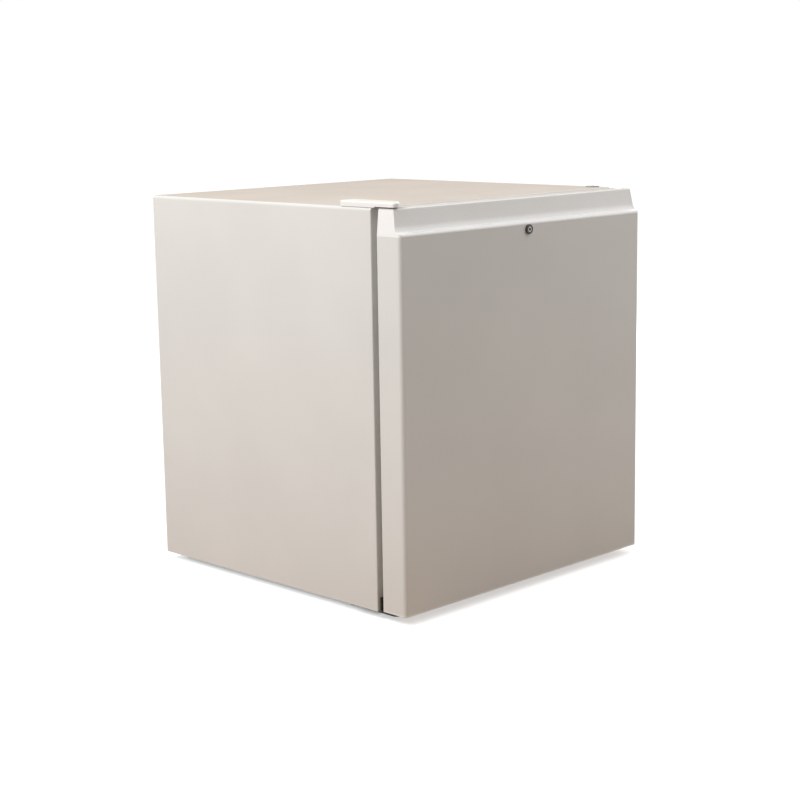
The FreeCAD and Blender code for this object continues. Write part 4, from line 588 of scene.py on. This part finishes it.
middle_line = half_width - GASKET_STRIP * OUTER_SHARE
old_height, old_outer, old_inner = 0.0, 0.0, GASKET_STRIP
for height, outer, inner in [(h * MM, o * MM, i * MM) for h, o, i in GASKET_LEVELS]:
    if height > old_height:
        pick("FACE", lambda face: abs(face.center.z - old_height) < NEAR and abs(face.normal.z) > LEVEL)
        bpy.ops.mesh.extrude_region_move(TRANSFORM_OT_translate={"value": (0, 0, height - old_height)})
    for is_outer, old, new in ((True, old_outer, outer), (False, old_inner, inner)):
        pick("VERT", lambda v: abs(v.co.z - height) < NEAR and (abs(v.co.x) > middle_line) == is_outer)
        shrink = ((half_width - new) / (half_width - old), (half_height - new) / (half_height - old), 1)
        bpy.ops.transform.resize(value=shrink, center_override=(0, 0, 0))
    old_height, old_outer, old_inner = height, outer, inner
print("bellows of", len(GASKET_LEVELS), "levels,", round(old_height / MM, 1), "mm high")

# %% [markdown]
# ## Gasket on the door
# The back of the strip is still open, so its two edge loops are bridged. The gasket was made lying flat,
# because heights are then plain z values; now it is stood up against the door and shaded smooth, with the
# sharp folds kept.

# %% Gasket on the door
GASKET_CREASE = math.radians(50)

pick("VERT", lambda v: v.co.z < NEAR)
bpy.ops.mesh.bridge_edge_loops()
bpy.ops.mesh.select_all(action="SELECT")
bpy.ops.mesh.normals_make_consistent(inside=False)
bpy.ops.transform.rotate(value=math.radians(90), orient_axis="X", center_override=(0, 0, 0))
bpy.ops.transform.translate(value=(0, gasket_low.y, (gasket_low.z + gasket_high.z) / 2))
bpy.ops.object.mode_set(mode="OBJECT")
bpy.ops.object.shade_smooth_by_angle(angle=GASKET_CREASE)
hand_over(gasket, "door", "grey_gasket_vinyl", "door_gasket")
ys = [v.co.y / MM for v in gasket.data.vertices]
print("gasket", len(gasket.data.polygons), "faces, y", round(min(ys), 2), "to", round(max(ys), 2), "mm")

# %% [markdown]
# ## One screw of each kind
# The sheet metal is held by pan-head screws with a cross recess, formed by a punch in a header. A bump could
# fake the cross, but the recess is deep enough to show from the side, so it is cut. A screw starts as a
# cylinder: the top edge is rounded, the underside is inset and pushed out into the shank, and two crossed
# bars are cut from the head. These steps are shares of the head's size, so they make every kind.

# %% One screw of each kind
HEAD_SIDES, ROUND_STEPS = 28, 4
HEAD_ROUND = 0.5
CROSS_LENGTH, CROSS_WIDTH, CROSS_DEPTH = 1.15, 0.26, 0.62
SCREW_CREASE = math.radians(40)
# Each kind of screw: head radius, head height, shank radius and shank length, in millimetres
SCREW_KINDS = {"sheet": (3.4, 1.6, 1.6, 8), "hinge": (4.5, 2.0, 2.5, 14), "keeper": (3.0, 1.4, 1.6, 10),
               "cam": (3.5, 1.8, 1.8, 7)}


def pan_screw(name, head_radius, head, shank_radius, length):
    """A screw on the origin: its head stands up from z = 0 and its shank goes down."""
    choose()
    bpy.ops.mesh.primitive_cylinder_add(vertices=HEAD_SIDES, radius=head_radius, depth=head,
                                        location=(0, 0, head / 2))
    screw = bpy.context.object
    screw.name = name
    bpy.ops.object.transform_apply(location=True)
    pick("FACE", lambda face: face.normal.z > LEVEL)
    bpy.ops.mesh.bevel(offset=head * HEAD_ROUND, segments=ROUND_STEPS, affect="EDGES")
    pick("FACE", lambda face: face.normal.z < -LEVEL)
    bpy.ops.mesh.inset(thickness=head_radius - shank_radius)
    bpy.ops.mesh.extrude_region_move(TRANSFORM_OT_translate={"value": (0, 0, -length)})
    bpy.ops.object.mode_set(mode="OBJECT")
    for turn in (0, math.radians(90)):
        bpy.ops.mesh.primitive_cube_add(size=1, location=(0, 0, head), rotation=(0, 0, turn))
        bar = bpy.context.object
        bpy.ops.transform.resize(value=(head_radius * CROSS_LENGTH, head_radius * CROSS_WIDTH,
                                        2 * head * CROSS_DEPTH), orient_type="LOCAL")
        cut = screw.modifiers.new("cross", "BOOLEAN")
        cut.object = bar
        cut.solver = "EXACT"
        choose(screw)
        bpy.ops.object.modifier_apply(modifier=cut.name)
        choose(bar)
        bpy.ops.object.delete()
    choose(screw)
    bpy.ops.object.shade_smooth_by_angle(angle=SCREW_CREASE)
    return screw


patterns = {}
for kind, sizes in SCREW_KINDS.items():
    patterns[kind] = pan_screw(kind + "_screw", *(size * MM for size in sizes))
    print(kind, "screw,", len(patterns[kind].data.polygons), "faces")

# %% [markdown]
# ## Where the screws sit
# The screws hold the back panel, the condenser, the hinges and parts of the lock. Their places could be
# typed in, but then they would be wrong as soon as the CAD model changed. So they are read from the CAD
# screws: the tip of each shank gives a place, and the length of the whole screw says how far up its seat is.

# %% Where the screws sit
TIP_REACH = 5.5 * MM


def screw_seats(node, toward, head):
    """Where a node's screws sit: the middle of each shank's tip, brought up to the seat under the head."""
    points = corners_of(node)
    heights = [p.dot(toward) for p in points]
    tips = [p for p, height in zip(points, heights) if height < min(heights) + NEAR]
    groups = []
    for tip in tips:
        group = next((g for g in groups if (g[0] - tip).length < TIP_REACH), None)
        if group is None:
            groups.append([tip])
        else:
            group.append(tip)
    rise = toward * (max(heights) - head - min(heights))
    return [sum(group, Vector()) / len(group) + rise for group in groups]


print("tips closer than", round(TIP_REACH / MM, 1), "mm belong to one screw")

# %% [markdown]
# ## All the screws
# The pattern screw is copied to each seat, and every copy is turned by its own angle, because no two screws
# stop at the same one. An array would give all of them one angle. The copies of a node are joined, so that
# one piece stands for one node.

# %% All the screws
FIRST_TURN, NEXT_TURN = 23, 67
BACKWARD, FORWARD = Vector((0, 1, 0)), Vector((0, -1, 0))
UPWARD, DOWNWARD = Vector((0, 0, 1)), Vector((0, 0, -1))
# Each node of screws: the kind, the way that the heads face, and the body that carries them
SCREW_SETS = {"back_panel_screws": ("sheet", BACKWARD, "cabinet"),
              "condenser_screws": ("sheet", BACKWARD, "cabinet"),
              "top_hinge_screws": ("hinge", UPWARD, "cabinet"),
              "bottom_hinge_screws": ("hinge", DOWNWARD, "cabinet"),
              "lock_keeper_screws": ("keeper", FORWARD, "cabinet"),
              "lock_cam_screw": ("cam", BACKWARD, "lock")}


def copy_to(pattern, place):
    """A copy with its own mesh, which takes up the place."""
    choose(pattern)
    bpy.ops.object.duplicate()
    copy = bpy.context.object
    copy.matrix_world = place
    bpy.ops.object.transform_apply(location=True, rotation=True, scale=True)
    return copy


def joined(pieces, name):
    """Several objects made one, under a new name."""
    choose(*pieces)
    if len(pieces) > 1:
        bpy.ops.object.join()
    pieces[0].name = name
    return pieces[0]


for node, (kind, toward, body) in SCREW_SETS.items():
    head = SCREW_KINDS[kind][1] * MM
    lean = toward.to_track_quat("Z", "Y").to_matrix().to_4x4()
    copies = []
    for index, seat in enumerate(screw_seats(node, toward, head)):
        own_turn = Matrix.Rotation(math.radians(FIRST_TURN + NEXT_TURN * index), 4, "Z")
        copies.append(copy_to(patterns[kind], Matrix.Translation(seat) @ lean @ own_turn))
    screws = joined(copies, node + "_crossed")
    hand_over(screws, body, "zinc_plated_steel", node)
    print(screws.name, "has", len(copies), "screws,", len(screws.data.polygons), "faces")
choose(*patterns.values())
bpy.ops.object.delete()

# %% [markdown]
# ## Thermostat scale
# The knob at the back turns over a scale printed on its bracket: a tick and a number for each setting. It
# could be a picture laid on the bracket, but a mesh stays sharp from close by and needs no image file. A
# screen print is a film of ink, so the figures are text turned to mesh, a tenth of a millimetre thick. First
# come the dial's middle and one tick, a small bar.

# %% Dial and one tick
INK = 0.1 * MM
TICK_WIDTH, TICK_LENGTH = 0.8 * MM, 3 * MM

knob_low, knob_high = span("thermostat_knob")
printed_face = span("thermostat_bracket")[1].y
dial_centre = Vector(((knob_low.x + knob_high.x) / 2, printed_face, (knob_low.z + knob_high.z) / 2))
choose()
bpy.ops.mesh.primitive_cube_add(size=1)
tick = bpy.context.object
bpy.ops.transform.resize(value=(TICK_WIDTH, INK, TICK_LENGTH))
bpy.ops.object.transform_apply(location=True, rotation=True, scale=True)
print("dial at", tuple(round(v, 4) for v in dial_centre))

# %% [markdown]
# ## Marks round the dial
# Ticks and figures stand on two circles round the knob's axis, one setting every 40 degrees. The ticks point
# outwards, so each copy is turned with its place; the figures stay upright, as on a printed dial.

# %% Marks round the dial
TICK_RADIUS, FIGURE_RADIUS = 22.5 * MM, 27 * MM
FIGURE_SIZE = 5.5 * MM
SETTINGS = 7
FIRST_ANGLE, STEP_ANGLE = -120, 40
# Upright, and read from behind
FIGURE_TURN = (math.radians(90), 0, math.radians(180))

marks = []
for index in range(SETTINGS):
    turn = math.radians(FIRST_ANGLE + STEP_ANGLE * index)
    outward = Vector((-math.sin(turn), 0, math.cos(turn)))
    tick_place = dial_centre + outward * TICK_RADIUS + Vector((0, INK / 2, 0))
    marks.append(copy_to(tick, Matrix.Translation(tick_place) @ Matrix.Rotation(-turn, 4, "Y")))
    choose()
    bpy.ops.object.text_add(location=dial_centre + outward * FIGURE_RADIUS, rotation=FIGURE_TURN)
    figure = bpy.context.object
    figure.data.body = str(index + 1)
    figure.data.size = FIGURE_SIZE
    figure.data.align_x = "CENTER"
    figure.data.align_y = "CENTER"
    figure.data.extrude = INK
    bpy.ops.object.convert(target="MESH")
    bpy.ops.object.transform_apply(location=True, rotation=True, scale=True)
    marks.append(bpy.context.object)
choose(tick)
bpy.ops.object.delete()
scale = joined(marks, "thermostat_scale")
bpy.ops.object.mode_set(mode="EDIT")
bpy.ops.mesh.select_all(action="SELECT")
bpy.ops.mesh.remove_doubles(threshold=NEAR)
bpy.ops.mesh.normals_make_consistent(inside=False)
bpy.ops.object.mode_set(mode="OBJECT")
hand_over(scale, "cabinet", "black_moulded_plastic")
print("scale with", SETTINGS, "settings,", len(scale.data.polygons), "faces")

# %% [markdown]
# ## Camera
# The photograph looks at the near left corner of the freezer from about 45 degrees, slightly from above.
# The place and the turns below were fitted to the corners of the cabinet and the door. The lens is long,
# because the far edges are hardly smaller than the near ones.

# %% Camera
CAMERA_PLACE = Vector((-1.6216, -1.6255, 0.6408))
CAMERA_YAW, CAMERA_PITCH, CAMERA_ROLL = (math.radians(a) for a in (45.007, 10.461, -0.913))
LENS_MM = 77.5

level = Vector((math.cos(CAMERA_YAW), -math.sin(CAMERA_YAW), 0))
ahead = Vector((math.sin(CAMERA_YAW) * math.cos(CAMERA_PITCH),
                math.cos(CAMERA_YAW) * math.cos(CAMERA_PITCH), -math.sin(CAMERA_PITCH)))
over = level.cross(ahead)
right = math.cos(CAMERA_ROLL) * level + math.sin(CAMERA_ROLL) * over
upward = math.cos(CAMERA_ROLL) * over - math.sin(CAMERA_ROLL) * level
camera = bpy.data.objects.new("camera", bpy.data.cameras.new("camera"))
bpy.context.scene.collection.objects.link(camera)
camera.data.lens = LENS_MM
turned = Matrix((right, upward, -ahead)).transposed().to_4x4()
camera.matrix_world = Matrix.Translation(CAMERA_PLACE) @ turned
bpy.context.scene.camera = camera
print("camera at", tuple(round(v, 3) for v in CAMERA_PLACE), "lens", LENS_MM)

# %% [markdown]
# ## Floor
# The freezer stands on a plain pale floor that runs out to a white background. The lamps could be turned up
# until the floor is white, but then the freezer would be white too. So the floor's paint asks which kind of
# ray has hit it, and how far from the freezer, and the next two cells use the answers.

# %% Floor
FLOOR_SIZE = 60

choose()
bpy.ops.mesh.primitive_plane_add(size=FLOOR_SIZE)
floor = bpy.context.object
floor.name = "studio_floor"
floor_paint, floor_shader, floor_place = new_finish("studio_floor_paint")
ray = add_node(floor_paint, "ShaderNodeLightPath", {})
seen = add_node(floor_paint, "ShaderNodeMath",
                {0: ray.outputs["Is Camera Ray"], 1: ray.outputs["Is Glossy Ray"]}, operation="MAXIMUM")
away = add_node(floor_paint, "ShaderNodeVectorMath", {0: floor_place}, operation="LENGTH")
print("floor", FLOOR_SIZE, "m across")

# %% [markdown]
# ## What the camera sees of the floor
# The camera sees the floor brighter than the lamps make it, more so far away where the lamps fade, so that
# it meets the background without a line and still holds the soft shadow. Under the cabinet this lift fades
# out, so that a dark line shows where the freezer stands. How far a point is past the cabinet's edge is
# worked out from the cabinet's box, so the dark part follows the CAD model.

# %% What the camera sees of the floor
# The lift, and the distances from the freezer's middle between which it grows
LIFT_NEAR, LIFT_FAR = 0.53, 0.86
LIFT_START, LIFT_END = 0.6, 3.0
# How far in under the cabinet the floor starts to darken, and where it has lost all its lift
GAP_PALE, GAP_DARK = 12 * MM, 29 * MM

shell_low, shell_high = span("cabinet_shell")
lift = add_node(floor_paint, "ShaderNodeMapRange",
                {"Value": away.outputs["Value"], "From Min": LIFT_START, "From Max": LIFT_END,
                 "To Min": LIFT_NEAR, "To Max": LIFT_FAR})
from_middle = add_node(floor_paint, "ShaderNodeVectorMath",
                       {0: floor_place, 1: (shell_low + shell_high) / 2}, operation="SUBTRACT")
aside = add_node(floor_paint, "ShaderNodeVectorMath", {0: from_middle.outputs["Vector"]},
                 operation="ABSOLUTE")
past_edge = add_node(floor_paint, "ShaderNodeVectorMath",
                     {0: aside.outputs["Vector"], 1: (shell_high - shell_low) / 2}, operation="SUBTRACT")
past_side = add_node(floor_paint, "ShaderNodeSeparateXYZ", {"Vector": past_edge.outputs["Vector"]})
outside = add_node(floor_paint, "ShaderNodeMath",
                   {0: past_side.outputs["X"], 1: past_side.outputs["Y"]}, operation="MAXIMUM")
open_floor = add_node(floor_paint, "ShaderNodeMapRange",
                      {"Value": outside.outputs[0], "From Min": -GAP_DARK, "From Max": -GAP_PALE})
lit = add_node(floor_paint, "ShaderNodeMath",
               {0: lift.outputs["Result"], 1: open_floor.outputs["Result"]}, operation="MULTIPLY")
shown = add_node(floor_paint, "ShaderNodeMath", {0: seen.outputs[0], 1: lit.outputs[0]},
                 operation="MULTIPLY")
print("lift", LIFT_NEAR, "to", LIFT_FAR, "and none", round(GAP_DARK / MM), "mm in under the cabinet")

# %% [markdown]
# ## What the floor throws back
# In the photograph the foot of the door is warmer than its head. A warm lamp near the floor would tint the
# floor as well, so the tint is given to the light that the floor throws back: warm close by, plain farther
# out. The camera does not see it, because for the camera the floor is pale.

# %% What the floor throws back
FLOOR_SEEN, FLOOR_WARM, FLOOR_PLAIN = "#F4F4F4", "#A27F54", "#B1A699"
# The bounced light turns from warm to plain between these distances from the freezer's middle
WARM_END, PLAIN_START = 0.45, 0.85

reach = add_node(floor_paint, "ShaderNodeMapRange",
                 {"Value": away.outputs["Value"], "From Min": WARM_END, "From Max": PLAIN_START})
bounce = add_node(floor_paint, "ShaderNodeValToRGB", {"Fac": reach.outputs["Result"]},
                  stops=[(0.0, FLOOR_WARM), (1.0, FLOOR_PLAIN)])
tone = add_node(floor_paint, "ShaderNodeMix",
                {0: seen.outputs[0], COLOUR_A: bounce.outputs["Color"], COLOUR_B: linear(FLOOR_SEEN)},
                data_type="RGBA")
feed(floor_shader, {"Base Color": tone.outputs[COLOUR_OUT], "Roughness": 0.9, "Specular IOR Level": 0.0,
                    "Emission Color": (1.0, 1.0, 1.0, 1.0), "Emission Strength": shown.outputs[0]})
floor.data.materials.append(floor_paint)
print("floor seen as", FLOOR_SEEN, "and felt as", FLOOR_WARM, "to", FLOOR_PLAIN)

# %% [markdown]
# ## Background
# The photograph's background is plain white. One white world at full strength would light the freezer flatly
# from all sides. So the world is white where it is seen straight on, in a shiny surface or through a clear
# one, and much weaker as a light, which leaves the shaping to the lamps.

# %% Background
AMBIENT = 0.23

world = bpy.data.worlds.new("studio")
bpy.context.scene.world = world
world.use_nodes = True
sight = add_node(world, "ShaderNodeLightPath", {})
direct = add_node(world, "ShaderNodeMath",
                  {0: sight.outputs["Is Camera Ray"], 1: sight.outputs["Is Glossy Ray"]},
                  operation="MAXIMUM")
plain = add_node(world, "ShaderNodeMath",
                 {0: direct.outputs[0], 1: sight.outputs["Is Transmission Ray"]}, operation="MAXIMUM")
strength = add_node(world, "ShaderNodeMapRange",
                    {"Value": plain.outputs[0], "To Min": AMBIENT, "To Max": 1.0})
feed(world.node_tree.nodes["Background"],
     {"Color": (1.0, 1.0, 1.0, 1.0), "Strength": strength.outputs["Result"]})
print("background ready, ambient", AMBIENT)

# %% [markdown]
# ## Lamps
# The light in the photograph comes from the left: the side is bright and the door is in half shade. A point
# or a sun would draw hard shadows, so the lamps are large square soft boxes. A weaker one above the right
# gives the bright line along the grip's lip, and one behind the freezer lights the sides that the photograph
# does not show.

# %% Lamps
LAMP_AIM = Vector((0, 0, 0.25))
# Each soft box: its place, the length of its side, and its power in watts
SOFT_BOXES = {"key_lamp": ((-1.55, 0.25, 1.75), 1.3, 38), "top_lamp": ((0.85, -1.05, 1.65), 1.8, 16),
              "back_lamp": ((1.9, 1.05, 1.2), 1.6, 15)}

for name, (place, size, watts) in SOFT_BOXES.items():
    lamp = bpy.data.objects.new(name, bpy.data.lights.new(name, "AREA"))
    bpy.context.scene.collection.objects.link(lamp)
    lamp.data.shape = "SQUARE"
    lamp.data.size = size
    lamp.data.energy = watts
    lamp.location = place
    lamp.rotation_euler = (LAMP_AIM - Vector(place)).to_track_quat("-Z", "Y").to_euler()
    print(name, "at", place, "with", watts, "W")

# %% Finish
bpy.context.scene.view_settings.view_transform = "Standard"
